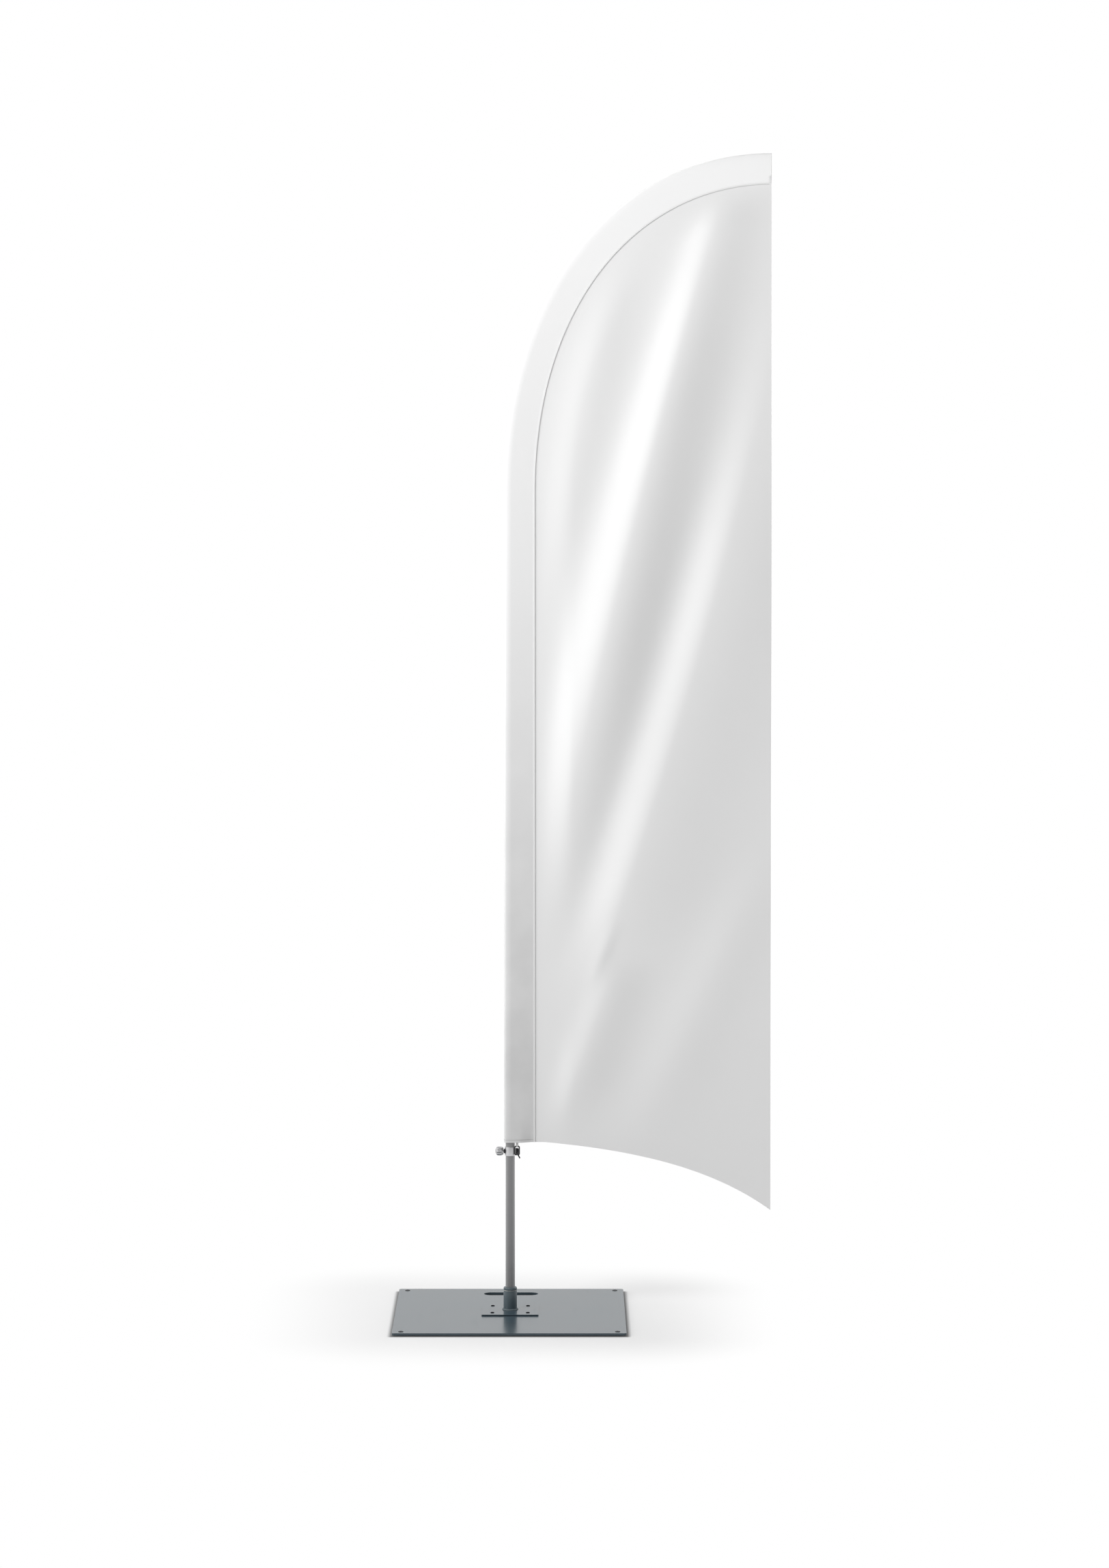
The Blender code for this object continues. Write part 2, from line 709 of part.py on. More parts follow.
def build_flag(finish, mast_axis):
    """The pocket round the pole, the panel, and the anchor of the strap in the pocket."""
    line, inward = outer_edge(FLAG_HEM_Z, 8, 20)
    along = np.concatenate([[0], np.cumsum(np.linalg.norm(np.diff(line, axis=0), axis=1))])
    stations = (0, along[-1] * 0.45, along[-1])
    half = np.interp(along, stations, (POCKET_HALF_THICK, POCKET_HALF_THICK, POCKET_TIP_HALF_THICK))

    def rings_along(indices, shrink):
        rings = []
        for index in indices:
            section = pocket_section(half[index], shrink)
            place = line[index] + inward[index] * section[:, :1]
            rings.append(np.stack([place[:, 0], section[:, 1], place[:, 1]], 1))
        return rings

    outside = rings_along(range(len(line)), 0.0)
    inside = rings_along(range(len(line) - 1, -1, -1), POCKET_WALL)
    inside[0][:, 0] -= 2 * POCKET_WALL
    add_object("pole_pocket", stack_rings(inside + outside), finish["cloth"], mast_axis)

    seam = line + inward * (POCKET_WIDTH + CONTACT_GAP)
    hem_start = FLAG_EDGE_X + HEM_FLAT_TO
    hem = bezier(
        (hem_start, FLAG_HEM_Z),
        (hem_start + HEM_LEFT_HANDLE, FLAG_HEM_Z - HEM_LEFT_HANDLE * HEM_LEFT_SLOPE),
        (FREE_EDGE_X - HEM_RIGHT_HANDLE, FLAG_TIP_Z + HEM_RIGHT_HANDLE * HEM_RIGHT_SLOPE),
        (FREE_EDGE_X, FLAG_TIP_Z),
        np.linspace(1, 0, 13),
    )
    outline = np.vstack([seam, hem])
    faces_y = (-PANEL_THICK / 2, PANEL_THICK / 2)
    rings = [
        np.column_stack([outline[:, 0], np.full(len(outline), depth), outline[:, 1]]) for depth in faces_y
    ]
    add_object("flag_panel", stack_rings(rings), finish["cloth"], mast_axis)

    anchor_low = STRAP_TOP_Z + CONTACT_GAP
    anchor = rounded_rectangle(
        STRAP_WIDTH + 0.004, 2 * STRAP_THICK, STRAP_THICK / 2, 3, (STRAP_CENTRE_X, RING_Y)
    )
    add_object(
        "strap_anchor", prism(anchor, anchor_low, anchor_low + ANCHOR_HEIGHT), finish["webbing"], mast_axis
    )


def build_collar(finish, mast_axis):
    """The ring that clamps on the mast, with the hook, the ring that hangs on it and the strap."""
    collar_axis = add_axis("collar_slide_axis", (0, 0, COLLAR_BOTTOM_Z), mast_axis)
    top_z = COLLAR_BOTTOM_Z + COLLAR_HEIGHT
    collar = add_object(
        "tension_collar",
        turned([
            (COLLAR_RADIUS - COLLAR_EDGE, COLLAR_BOTTOM_Z),
            (COLLAR_RADIUS, COLLAR_BOTTOM_Z + COLLAR_EDGE),
            (COLLAR_RADIUS, top_z - COLLAR_EDGE),
            (COLLAR_RADIUS - COLLAR_EDGE, top_z),
            (COLLAR_BORE_RADIUS, top_z),
            (COLLAR_BORE_RADIUS, COLLAR_BOTTOM_Z),
        ], loop=True),
        finish["aluminium"],
        collar_axis,
    )
    boss_profile = [(BOSS_RADIUS, -COLLAR_BORE_RADIUS - 0.0006), (BOSS_RADIUS, BOSS_END_X)]
    boss = add_object(
        "boss_guide", turned(boss_profile, (0, KNOB_Z), "X", 24), finish["aluminium"]
    )
    boss.hide_render = True
    boss.display_type = "WIRE"
    union = collar.modifiers.new("add_boss", "BOOLEAN")
    union.operation = "UNION"
    union.object = boss
    thread_hole = add_object(
        "thread_cutter",
        turned([(STUD_HOLE_RADIUS, -0.003), (STUD_HOLE_RADIUS, -0.02)], (0, KNOB_Z), "X", 24),
        finish["rubber"],
    )
    cut(collar, thread_hole)

    hook_line = smooth_through(HOOK_CORNERS, 3)
    hook = add_object(
        "strap_hook",
        turned(list(HOOK_FOOT_PROFILE), (0, HOOK_FOOT_Z), "X", 24),
        finish["black_steel"],
        collar_axis,
    )
    wire = bar("hook_wire", hook_line, HOOK_WIRE_RADIUS, finish["black_steel"])
    join = hook.modifiers.new("add_wire", "BOOLEAN")
    join.operation = "UNION"
    join.object = bar_guide("hook_wire_guide", wire)
    oval = rounded_rectangle(
        2 * RING_HALF_WIDTH,
        RING_TOP_Z - RING_BOTTOM_Z,
        RING_CORNER_RADIUS,
        5,
        (RING_CENTRE_X, (RING_TOP_Z + RING_BOTTOM_Z) / 2),
    )
    oval_points = [(across, RING_Y, up) for across, up in oval]
    bar("strap_ring", oval_points, RING_WIRE_RADIUS, finish["black_plastic"], collar_axis, cyclic=True)
    add_object("tension_strap", strap_shape(), finish["webbing"], collar_axis)
    return collar_axis


def strap_shape():
    """Elastic webbing: one ply that comes down from the pocket and loops round the ring's top bar."""
    inner = RING_WIRE_RADIUS + 0.0004
    outer = inner + STRAP_THICK
    half_ply = STRAP_THICK * 0.8
    split_z = RING_TOP_Z + outer + 0.0012
    angles = np.linspace(math.radians(35), math.radians(-215), 15)
    eye_angles = np.linspace(0, -2 * math.pi, 17)[:-1]
    loop_out = [(outer * math.cos(a), RING_TOP_Z + outer * math.sin(a)) for a in angles]
    eye = [(inner * math.cos(a), RING_TOP_Z + inner * math.sin(a)) for a in eye_angles]
    outline = [
        (half_ply, STRAP_TOP_Z),
        (half_ply, split_z),
        *loop_out,
        (-half_ply, split_z),
        (-half_ply, STRAP_TOP_Z),
    ]
    sides = (STRAP_CENTRE_X - STRAP_WIDTH / 2, STRAP_CENTRE_X + STRAP_WIDTH / 2)
    return eyed_band(outline, eye, sides)


def eyed_band(outline, eye, sides):
    """A band across X whose side view is an outline with one eye through it."""
    work = bmesh.new()
    loops = []
    for points in (outline, eye):
        corners = [work.verts.new((sides[0], RING_Y + across, up)) for across, up in points]
        loops.append([
            work.edges.new((corners[index], corners[(index + 1) % len(corners)]))
            for index in range(len(corners))
        ])
    filled = bmesh.ops.triangle_fill(work, edges=loops[0] + loops[1], use_beauty=True)
    flat = [item for item in filled["geom"] if isinstance(item, bmesh.types.BMFace)]
    raised = bmesh.ops.extrude_face_region(work, geom=flat)
    far = [item for item in raised["geom"] if isinstance(item, bmesh.types.BMVert)]
    bmesh.ops.translate(work, verts=far, vec=(sides[1] - sides[0], 0, 0))
    work.verts.index_update()
    points = [tuple(corner.co) for corner in work.verts]
    faces = [tuple(corner.index for corner in face.verts) for face in work.faces]
    work.free()
    return points, faces


def build_thumb_screw(finish, collar_axis):
    """The stud with its soft tip, which feeds in and out, and the knob that turns on it."""
    stud_axis = add_axis("stud_feed_axis", (STUD_TIP_X, 0, KNOB_Z), collar_axis)
    centre = (0, KNOB_Z)
    add_object(
        "clamp_stud",
        turned([
            (STUD_RADIUS - 0.0004, STUD_TIP_X),
            (STUD_RADIUS, STUD_TIP_X - 0.0004),
            (STUD_RADIUS, STUD_END_X),
        ], centre, "X", 16),
        finish["bright_steel"],
        stud_axis,
    )
    pad_profile = [(STUD_RADIUS, STUD_TIP_X + CONTACT_GAP), (STUD_RADIUS - 0.0003, PAD_TIP_X)]
    add_object("pressure_pad", turned(pad_profile, centre, "X", 16), finish["nylon"], stud_axis)
    knob_axis = add_axis("knob_turn_axis", (KNOB_START_X, 0, KNOB_Z), stud_axis)
    add_object("clamp_knob", knob_shape(), finish["knob_metal"], knob_axis)
    cap_start = KNOB_END_X - CONTACT_GAP
    cap_profile = [(radius, cap_start - step * KNOB_CAP_STEP) for step, radius in enumerate(KNOB_CAP_RADII)]
    add_object("knob_cap", turned(cap_profile, centre, "X", 24), finish["black_plastic"], knob_axis)


def knob_shape():
    """A barrel with shallow flutes and a blind hole for the stud.

    Each ring's radius is its own radius, less a cosine wave with one dip for each flute.
    """
    length = KNOB_END_X - KNOB_START_X
    bore_end = STUD_END_X - 0.0004
    profile = [
        (STUD_HOLE_RADIUS, bore_end, 0.0),
        (STUD_HOLE_RADIUS, KNOB_START_X, 0.0),
        (KNOB_NECK_RADII[0], KNOB_START_X, 0.0),
        (KNOB_NECK_RADII[1], KNOB_START_X + 0.12 * length, 0.0),
        (KNOB_RADIUS * 0.95, KNOB_START_X + 0.24 * length, 0.6),
        (KNOB_RADIUS, KNOB_START_X + 0.38 * length, 1.0),
        (KNOB_RADIUS, KNOB_START_X + 0.66 * length, 1.0),
        (KNOB_RADIUS * 0.95, KNOB_START_X + 0.82 * length, 1.0),
        (KNOB_RADIUS * 0.82, KNOB_START_X + 0.95 * length, 0.5),
        (KNOB_RADIUS * 0.66, KNOB_END_X, 0.0),
    ]
    sides = KNOB_FLUTES * 6
    angles = np.arange(sides) * 2 * math.pi / sides
    wave = 0.5 - 0.5 * np.cos(KNOB_FLUTES * angles)
    rings = []
    for radius, along, share in profile:
        reach = radius * (1 - KNOB_FLUTE_DEPTH * share * wave)
        rings.append(np.stack([
            np.full(sides, along),
            reach * np.cos(angles),
            KNOB_Z + reach * np.sin(angles),
        ], 1))
    return stack_rings(rings)


def build_flag_with_pole():
    """Clear the scene and build the whole part."""
    for old in list(bpy.data.objects):
        bpy.data.objects.remove(old, do_unlink=True)
    finish = {
        "grey_paint": make_material("grey_paint", (0.095, 0.11, 0.118), 0.35),
        "dark_paint": make_material("dark_paint", (0.10, 0.12, 0.125), 0.35),
        "rubber": make_material("rubber", (0.03, 0.03, 0.03), 0.85),
        "black_plastic": make_material("black_plastic", (0.03, 0.03, 0.035), 0.5),
        "black_steel": make_material("black_steel", (0.06, 0.06, 0.065), 0.4, 0.8),
        "bright_steel": make_material("bright_steel", (0.62, 0.62, 0.62), 0.28, 1.0),
        "brass": make_material("brass", (0.70, 0.55, 0.25), 0.3, 1.0),
        "nylon": make_material("nylon", (0.80, 0.80, 0.76), 0.5),
        "aluminium": make_material("aluminium", (0.55, 0.55, 0.56), 0.3, 1.0),
        "knob_metal": make_material("knob_metal", (0.48, 0.48, 0.49), 0.35, 0.9),
        "fibreglass": make_material("fibreglass", (0.75, 0.75, 0.72), 0.45),
        "cloth": make_material("cloth", (0.86, 0.86, 0.86), 0.6),
        "webbing": make_material("webbing", (0.55, 0.55, 0.55), 0.8),
    }
    build_base(finish)
    rotor_axis = build_rotor(finish)
    mast_axis = build_mast(finish, rotor_axis)
    build_flag(finish, mast_axis)
    collar_axis = build_collar(finish, mast_axis)
    build_thumb_screw(finish, collar_axis)


build_flag_with_pole()
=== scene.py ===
"""Looks of the feather flag: cloth, mast, socket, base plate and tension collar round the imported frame.

Every length is in metres, in the frame's own axes: +Z up, +X towards the flag's free edge, -Y the front.
"""

import logging
import math
from dataclasses import dataclass
from enum import Enum

import bpy
import numpy as np
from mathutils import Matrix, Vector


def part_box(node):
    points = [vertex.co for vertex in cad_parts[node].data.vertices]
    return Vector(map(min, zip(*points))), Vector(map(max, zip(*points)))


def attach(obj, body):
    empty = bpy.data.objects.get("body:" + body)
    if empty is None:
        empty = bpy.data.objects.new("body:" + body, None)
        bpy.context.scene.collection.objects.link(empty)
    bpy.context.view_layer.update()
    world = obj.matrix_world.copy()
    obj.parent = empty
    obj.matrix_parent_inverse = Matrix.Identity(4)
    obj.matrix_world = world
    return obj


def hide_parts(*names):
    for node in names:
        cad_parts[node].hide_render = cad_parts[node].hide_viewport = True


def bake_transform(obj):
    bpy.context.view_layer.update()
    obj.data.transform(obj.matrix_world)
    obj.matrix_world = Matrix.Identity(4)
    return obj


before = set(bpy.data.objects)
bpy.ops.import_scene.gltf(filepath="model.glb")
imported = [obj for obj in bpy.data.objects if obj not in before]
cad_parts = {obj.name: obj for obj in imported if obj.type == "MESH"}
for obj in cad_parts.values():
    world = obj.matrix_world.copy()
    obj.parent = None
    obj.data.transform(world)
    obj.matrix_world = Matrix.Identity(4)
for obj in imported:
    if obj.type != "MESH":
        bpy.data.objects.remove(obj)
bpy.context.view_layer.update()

TAU = 2 * math.pi
FULL_TURN_DEG = 180.0
CLAMP_SCREW_Z = 0.3562
log = logging.getLogger("feather_flag")


# ---------------------------------------------------------------- shader wiring

class Wire:
    """A value or colour socket that takes part in shader maths."""

    def __init__(self, tree: bpy.types.NodeTree, socket: bpy.types.NodeSocket) -> None:
        """Keep the tree and the socket."""
        self.tree = tree
        self.socket = socket

    def _math(self, operation: str, *values: "Wire | float") -> "Wire":
        """Add one Math node.

        Args:
            operation: The node's operation.
            values: Its inputs, as wires or numbers.

        Returns:
            The node's output.
        """
        node = self.tree.nodes.new("ShaderNodeMath")
        node.operation = operation
        for slot, value in zip(node.inputs, values):
            if isinstance(value, Wire):
                self.tree.links.new(value.socket, slot)
            else:
                slot.default_value = value
        return Wire(self.tree, node.outputs[0])

    def __add__(self, other: "Wire | float") -> "Wire":
        """Sum."""
        return self._math("ADD", self, other)

    __radd__ = __add__

    def __sub__(self, other: "Wire | float") -> "Wire":
        """Difference."""
        return self._math("SUBTRACT", self, other)

    def __rsub__(self, other: float) -> "Wire":
        """Number minus wire."""
        return self._math("SUBTRACT", other, self)

    def __mul__(self, other: "Wire | float") -> "Wire":
        """Product."""
        return self._math("MULTIPLY", self, other)

    __rmul__ = __mul__

    def sine(self) -> "Wire":
        """Sine of radians."""
        return self._math("SINE", self)

    def size(self) -> "Wire":
        """Absolute value."""
        return self._math("ABSOLUTE", self)

    def root(self) -> "Wire":
        """Square root."""
        return self._math("SQRT", self)

    def least(self, floor: float) -> "Wire":
        """This value, or the floor where that is more."""
        return self._math("MAXIMUM", self, floor)

    def above(self, low: float, high: float) -> "Wire":
        """A smooth rise from 0 at low to 1 at high."""
        node = self.tree.nodes.new("ShaderNodeMapRange")
        node.interpolation_type = "SMOOTHSTEP"
        node.clamp = True
        self.tree.links.new(self.socket, node.inputs["Value"])
        node.inputs["From Min"].default_value = low
        node.inputs["From Max"].default_value = high
        return Wire(self.tree, node.outputs["Result"])


Pair = tuple[float, float]
Triple = tuple[float, float, float]
Value = Wire | float | tuple[float, ...]


class Bench:
    """The node tree of one material, with the calls that lay its nodes."""

    def __init__(self, name: str) -> None:
        """Start a material that holds only its output and a Principled shader."""
        self.material = bpy.data.materials.new(name)
        self.material.use_nodes = True
        self.tree = self.material.node_tree
        self.shader = self.tree.nodes["Principled BSDF"]

    def lay(
        self, kind: str, settings: dict[str, object] | None = None, /, out: str | int = 0, **values: Value
    ) -> Wire:
        """Lay any node.

        Args:
            kind: The node's type, without its ShaderNode prefix.
            settings: Attributes to set before the sockets are filled.
            out: Which output to return.
            values: Socket values or wires; an underscore in a name stands for a space.

        Returns:
            The output asked for.
        """
        node = self.tree.nodes.new("ShaderNode" + kind)
        for key, value in (settings or {}).items():
            setattr(node, key, value)
        for key, value in values.items():
            self._fill(node.inputs[key.replace("_", " ")], value)
        return Wire(self.tree, node.outputs[out])

    def _fill(self, slot: bpy.types.NodeSocket, value: Value) -> None:
        """Link or set one socket."""
        if isinstance(value, Wire):
            self.tree.links.new(value.socket, slot)
        elif isinstance(value, tuple) and len(value) == 3 and slot.type == "RGBA":
            slot.default_value = (*value, 1.0)
        else:
            slot.default_value = value

    def place(self) -> Wire:
        """Object coordinates."""
        return self.lay("TexCoord", out="Object")

    def axes(self, place: Wire | None = None) -> tuple[Wire, Wire, Wire]:
        """The three components of a place, by default the object coordinates."""
        split = self.lay("SeparateXYZ", Vector=place or self.place())
        outputs = split.socket.node.outputs
        return tuple(Wire(self.tree, outputs[index]) for index in range(3))

    def stretched(self, scale: Triple) -> Wire:
        """Object coordinates, scaled along each axis."""
        return self.lay("Mapping", Vector=self.place(), Scale=scale)

    def noise(
        self, scale: float, detail: float = 2.0, at: Wire | None = None, rough: float = 0.5
    ) -> Wire:
        """Noise from 0 to 1."""
        where = at or self.place()
        return self.lay("TexNoise", Vector=where, Scale=scale, Detail=detail, Roughness=rough)

    def blend(self, share: Value, first: Value, second: Value) -> Wire:
        """Mix two colours by a share."""
        node = self.tree.nodes.new("ShaderNodeMix")
        node.data_type = "RGBA"
        self._fill(node.inputs[0], share)
        self._fill(node.inputs[6], first)
        self._fill(node.inputs[7], second)
        return Wire(self.tree, node.outputs[2])

    def bump(self, height: Wire, depth: float, strength: float = 1.0) -> Wire:
        """A normal from a height between 0 and 1 that stands for depth metres."""
        return self.lay("Bump", Height=height, Distance=depth, Strength=strength)

    def finish(self, **values: Value) -> bpy.types.Material:
        """Fill the Principled shader and hand over the material."""
        for key, value in values.items():
            self._fill(self.shader.inputs[key.replace("_", " ")], value)
        return self.material


def shade(colour: Triple, factor: float) -> Triple:
    """A colour made lighter or darker."""
    return tuple(min(1.0, part * factor) for part in colour)


# ---------------------------------------------------------------- finishes

@dataclass(frozen=True)
class PowderCoat:
    """Baked powder paint: fine orange peel, a little dust, and faint rubbed streaks."""

    name: str
    colour: Triple
    roughness: float = 0.40

    def material(self) -> bpy.types.Material:
        """Build the material."""
        bench = Bench(self.name)
        peel = bench.noise(1400, 2)
        cloud = bench.noise(9, 3)
        streak = bench.noise(60, 4, bench.stretched((1.0, 0.12, 1.0))).above(0.60, 0.74)
        tint = bench.blend(cloud.above(0.30, 0.75), shade(self.colour, 0.93), shade(self.colour, 1.07))
        tint = bench.blend(streak * 0.10, tint, shade(self.colour, 1.4))
        return bench.finish(
            Base_Color=tint,
            Roughness=self.roughness + (cloud - 0.5) * 0.04 + streak * 0.02,
            Normal=bench.bump(peel, 0.00001, 0.5),
            Specular_IOR_Level=0.5,
        )


class Grain(Enum):
    """Which way the tool marks of a metal run."""

    ALONG_Z = (900.0, 900.0, 6.0)
    ROUND_Z = (6.0, 6.0, 2600.0)
    ROUND_X = (2600.0, 6.0, 6.0)
    BLASTED = (1500.0, 1500.0, 1500.0)


@dataclass(frozen=True)
class Metal:
    """Bare metal with drawn, turned or blasted marks and dull handling patches."""

    name: str
    colour: Triple
    grain: Grain
    roughness: float = 0.28
    mark_depth: float = 0.000012
    metallic: float = 1.0
    gloss: float = 0.5
    sheen: float = 0.0

    def material(self) -> bpy.types.Material:
        """Build the material."""
        bench = Bench(self.name)
        marks = bench.noise(1.0, 3, bench.stretched(self.grain.value), 0.6)
        patch = bench.noise(24, 3)
        tint = bench.blend(marks.above(0.3, 0.7), shade(self.colour, 0.90), shade(self.colour, 1.06))
        tint = bench.blend(patch.above(0.5, 0.8) * 0.25, tint, shade(self.colour, 0.82))
        return bench.finish(
            Base_Color=tint,
            Metallic=self.metallic,
            Roughness=self.roughness + (marks - 0.5) * 0.16 + patch.above(0.5, 0.8) * 0.08,
            Normal=bench.bump(marks, self.mark_depth),
            Specular_IOR_Level=self.gloss,
            Sheen_Weight=self.sheen,
            Sheen_Roughness=0.75,
        )


@dataclass(frozen=True)
class Moulded:
    """Moulded plastic or resin: a fine spark-eroded texture and slight colour drift."""

    name: str
    colour: Triple
    roughness: float = 0.45
    texture: float = 2200.0
    texture_depth: float = 0.00002

    def material(self) -> bpy.types.Material:
        """Build the material."""
        bench = Bench(self.name)
        skin = bench.noise(self.texture, 2)
        drift = bench.noise(40, 2)
        tint = bench.blend(drift, shade(self.colour, 0.88), shade(self.colour, 1.12))
        return bench.finish(
            Base_Color=tint,
            Roughness=self.roughness + (drift - 0.5) * 0.12,
            Normal=bench.bump(skin, self.texture_depth),
        )


@dataclass(frozen=True)
class FibreRod:
    """Drawn glass-fibre rod: pale resin with long fibres in it."""

    name: str
    colour: Triple

    def material(self) -> bpy.types.Material:
        """Build the material."""
        bench = Bench(self.name)
        fibres = bench.noise(1.0, 4, bench.stretched((1300.0, 1300.0, 14.0)), 0.7)
        tint = bench.blend(fibres.above(0.35, 0.7), shade(self.colour, 0.80), self.colour)
        return bench.finish(
            Base_Color=tint,
            Roughness=0.30 + fibres * 0.12,
            Normal=bench.bump(fibres, 0.00001),
            Coat_Weight=0.3,
        )


@dataclass(frozen=True)
class RibbedRubber:
    """Anti-slip sheet with fine straight ribs and a dusty face."""

    name: str
    colour: Triple
    pitch: float = 0.003

    def material(self) -> bpy.types.Material:
        """Build the material: the ribs are a sine wave across X."""
        bench = Bench(self.name)
        across, _, _ = bench.axes()
        rib = (across * (TAU / self.pitch)).sine() * 0.5 + 0.5
        dust = bench.noise(70, 3).above(0.45, 0.8)
        return bench.finish(
            Base_Color=bench.blend(dust * 0.35, self.colour, (0.12, 0.12, 0.12)),
            Roughness=0.78 + dust * 0.12,
            Normal=bench.bump(rib, 0.0004),
        )


@dataclass(frozen=True)
class FlagCloth:
    """Knitted polyester: a fine two-way rib, soft sheen, and painted shade that darkens the cloth towards
    the bottom.
    """

    name: str
    colour: Triple
    pitch: float = 0.0009
    roughness: float = 0.46
    painted_low_shade: float = 1.0
    painted_shade_from: float = 0.30
    painted_shade_to: float = 2.30

    def material(self) -> bpy.types.Material:
        """Build the material.

        The knit's height is the product of two sine waves, along X and along Z, so that it shows small
        rounded loops. Painted shade darkens the colour towards the bottom: its factor rises smoothly with
        height from the low value to 1.
        """
        bench = Bench(self.name)
        across, _, up = bench.axes()
        wale = (across * (TAU / self.pitch)).sine()
        course = (up * (TAU / (self.pitch * 0.8))).sine()
        loops = wale * course * 0.5 + 0.5
        mottle = bench.noise(5.0, 4)
        thread = bench.noise(1.0, 2, bench.stretched((30.0, 30.0, 700.0)))
        # painted shade: the colour is darker low on the cloth and reaches its full value only high up
        height_shade = up.above(self.painted_shade_from, self.painted_shade_to)
        base = bench.blend(height_shade, shade(self.colour, self.painted_low_shade), self.colour)
        base = bench.blend(mottle.above(0.35, 0.75) * 0.5, base, shade(self.colour, 0.985))
        base = bench.blend(loops * 0.10, base, shade(self.colour, 0.90))
        weave = bench.bump(loops * 0.75 + thread * 0.25, 0.00006, 0.5)
        return bench.finish(
            Base_Color=base,
            Roughness=self.roughness + (mottle - 0.5) * 0.08,
            Normal=weave,
            Specular_IOR_Level=0.35,
            Sheen_Weight=0.10,
            Sheen_Roughness=0.4,
        )


@dataclass(frozen=True)
class Webbing:
    """Woven elastic tape with cross ribs, and painted shade that darkens both its edges."""

    name: str
    colour: Triple
    pitch: float = 0.0011

    def material(self) -> bpy.types.Material:
        """Build the material from the piece's own map: U runs across the tape, V along it in metres."""
        bench = Bench(self.name)
        split = bench.lay("SeparateXYZ", Vector=bench.lay("TexCoord", out="UV"))
        across = split
        along = Wire(bench.tree, split.socket.node.outputs["Y"])
        rib = (along * (TAU / self.pitch)).sine() * 0.5 + 0.5
        # painted shade: both edges of the tape are painted dark, standing in for the shadow along its sides
        edge = ((across - 0.5).size() * 2).above(0.72, 0.86)
        tint = bench.blend(rib, shade(self.colour, 0.82), self.colour)
        tint = bench.blend(edge * 0.8, tint, shade(self.colour, 0.35))
        return bench.finish(
            Base_Color=tint,
            Roughness=0.80 - rib * 0.10,
            Normal=bench.bump(rib, 0.00016),
            Sheen_Weight=0.15,
        )


@dataclass(frozen=True)
class Thread:
    """Twisted sewing thread."""

    name: str
    colour: Triple

    def material(self) -> bpy.types.Material:
        """Build the material: the twist is a diagonal sine wave."""
        bench = Bench(self.name)
        across, _, up = bench.axes()
        twist = ((across + up) * 9000.0).sine() * 0.5 + 0.5
        return bench.finish(
            Base_Color=bench.blend(twist, shade(self.colour, 0.75), self.colour),
            Roughness=0.55 + twist * 0.1,
            Normal=bench.bump(twist, 0.00005),
        )


class Finishes:
    """Every material of the part, made once."""

    def __init__(self) -> None:
        """Make the materials."""
        base_grey = (0.052, 0.079, 0.098)
        self.base_paint = PowderCoat("base_paint", base_grey, 0.225).material()
        # The socket's paint is a dark blue-grey made 2.4 times lighter: a painted-lit copy of the base's
        # paint that stands in for the brighter reflections on the round socket, weld and rotor cap.
        socket_lit_grey = shade((0.047, 0.062, 0.070), 2.4)
        self.socket_lit_paint = PowderCoat("socket_lit_paint", socket_lit_grey, 0.26).material()
        self.mast_metal = Metal(
            "mast_metal", (0.13, 0.13, 0.134), Grain.ALONG_Z, 0.30, mark_depth=0.000001, sheen=1.0
        ).material()
        self.collar_metal = Metal("collar_metal", (0.66, 0.66, 0.67), Grain.BLASTED, 0.42).material()
        self.knob_metal = Metal("knob_metal", (0.55, 0.55, 0.56), Grain.ROUND_X, 0.38).material()
        self.turned_steel = Metal("turned_steel", (0.62, 0.62, 0.62), Grain.ROUND_Z, 0.25).material()
        self.brass = Metal("brass", (0.72, 0.56, 0.27), Grain.ALONG_Z, 0.28).material()
        self.black_steel = Metal(
            "black_steel", (0.05, 0.05, 0.055), Grain.BLASTED, 0.40, metallic=0.6
        ).material()
        self.black_oxide = Metal(
            "black_oxide", (0.02, 0.02, 0.022), Grain.BLASTED, 0.80, metallic=0.0, gloss=0.0
        ).material()
        self.black_plastic = Moulded("black_plastic", (0.028, 0.028, 0.032), 0.42).material()
        self.nylon = Moulded("nylon", (0.78, 0.78, 0.74), 0.48).material()
        self.rubber = RibbedRubber("rubber", (0.035, 0.035, 0.035)).material()
        self.fibre = FibreRod("fibre", (0.74, 0.73, 0.68)).material()
        self.panel_cloth = FlagCloth("panel_cloth", (0.86, 0.86, 0.86)).material()
        # The pocket's cloth is a lighter copy of the panel's cloth: painted light near the top, and painted
        # shade that darkens it towards the hem.
        self.pocket_cloth = FlagCloth(
            "pocket_cloth", (0.95, 0.95, 0.95), pitch=0.0007, roughness=0.50, painted_low_shade=0.69, painted_shade_to=1.8
        ).material()
        self.webbing = Webbing("webbing", (0.62, 0.62, 0.62)).material()
        # The seam thread is dark grey partly as grey thread and partly as painted shade: it draws the thin
        # shadow line along the seam.
        self.thread = Thread("thread", (0.34, 0.34, 0.34)).material()


# ---------------------------------------------------------------- surfaces

def angles_round(sides: int) -> np.ndarray:
    """Equal steps of angle round a full turn."""
    return np.arange(sides) * TAU / sides


def unit_rows(rows: np.ndarray) -> np.ndarray:
    """Each row scaled to a length of 1."""
    return rows / np.linalg.norm(rows, axis=1)[:, None]


def distance_along(line: np.ndarray) -> np.ndarray:
    """The length of a line of points from its start to each point."""
    return np.concatenate([[0], np.cumsum(np.linalg.norm(np.diff(line, axis=0), axis=1))])


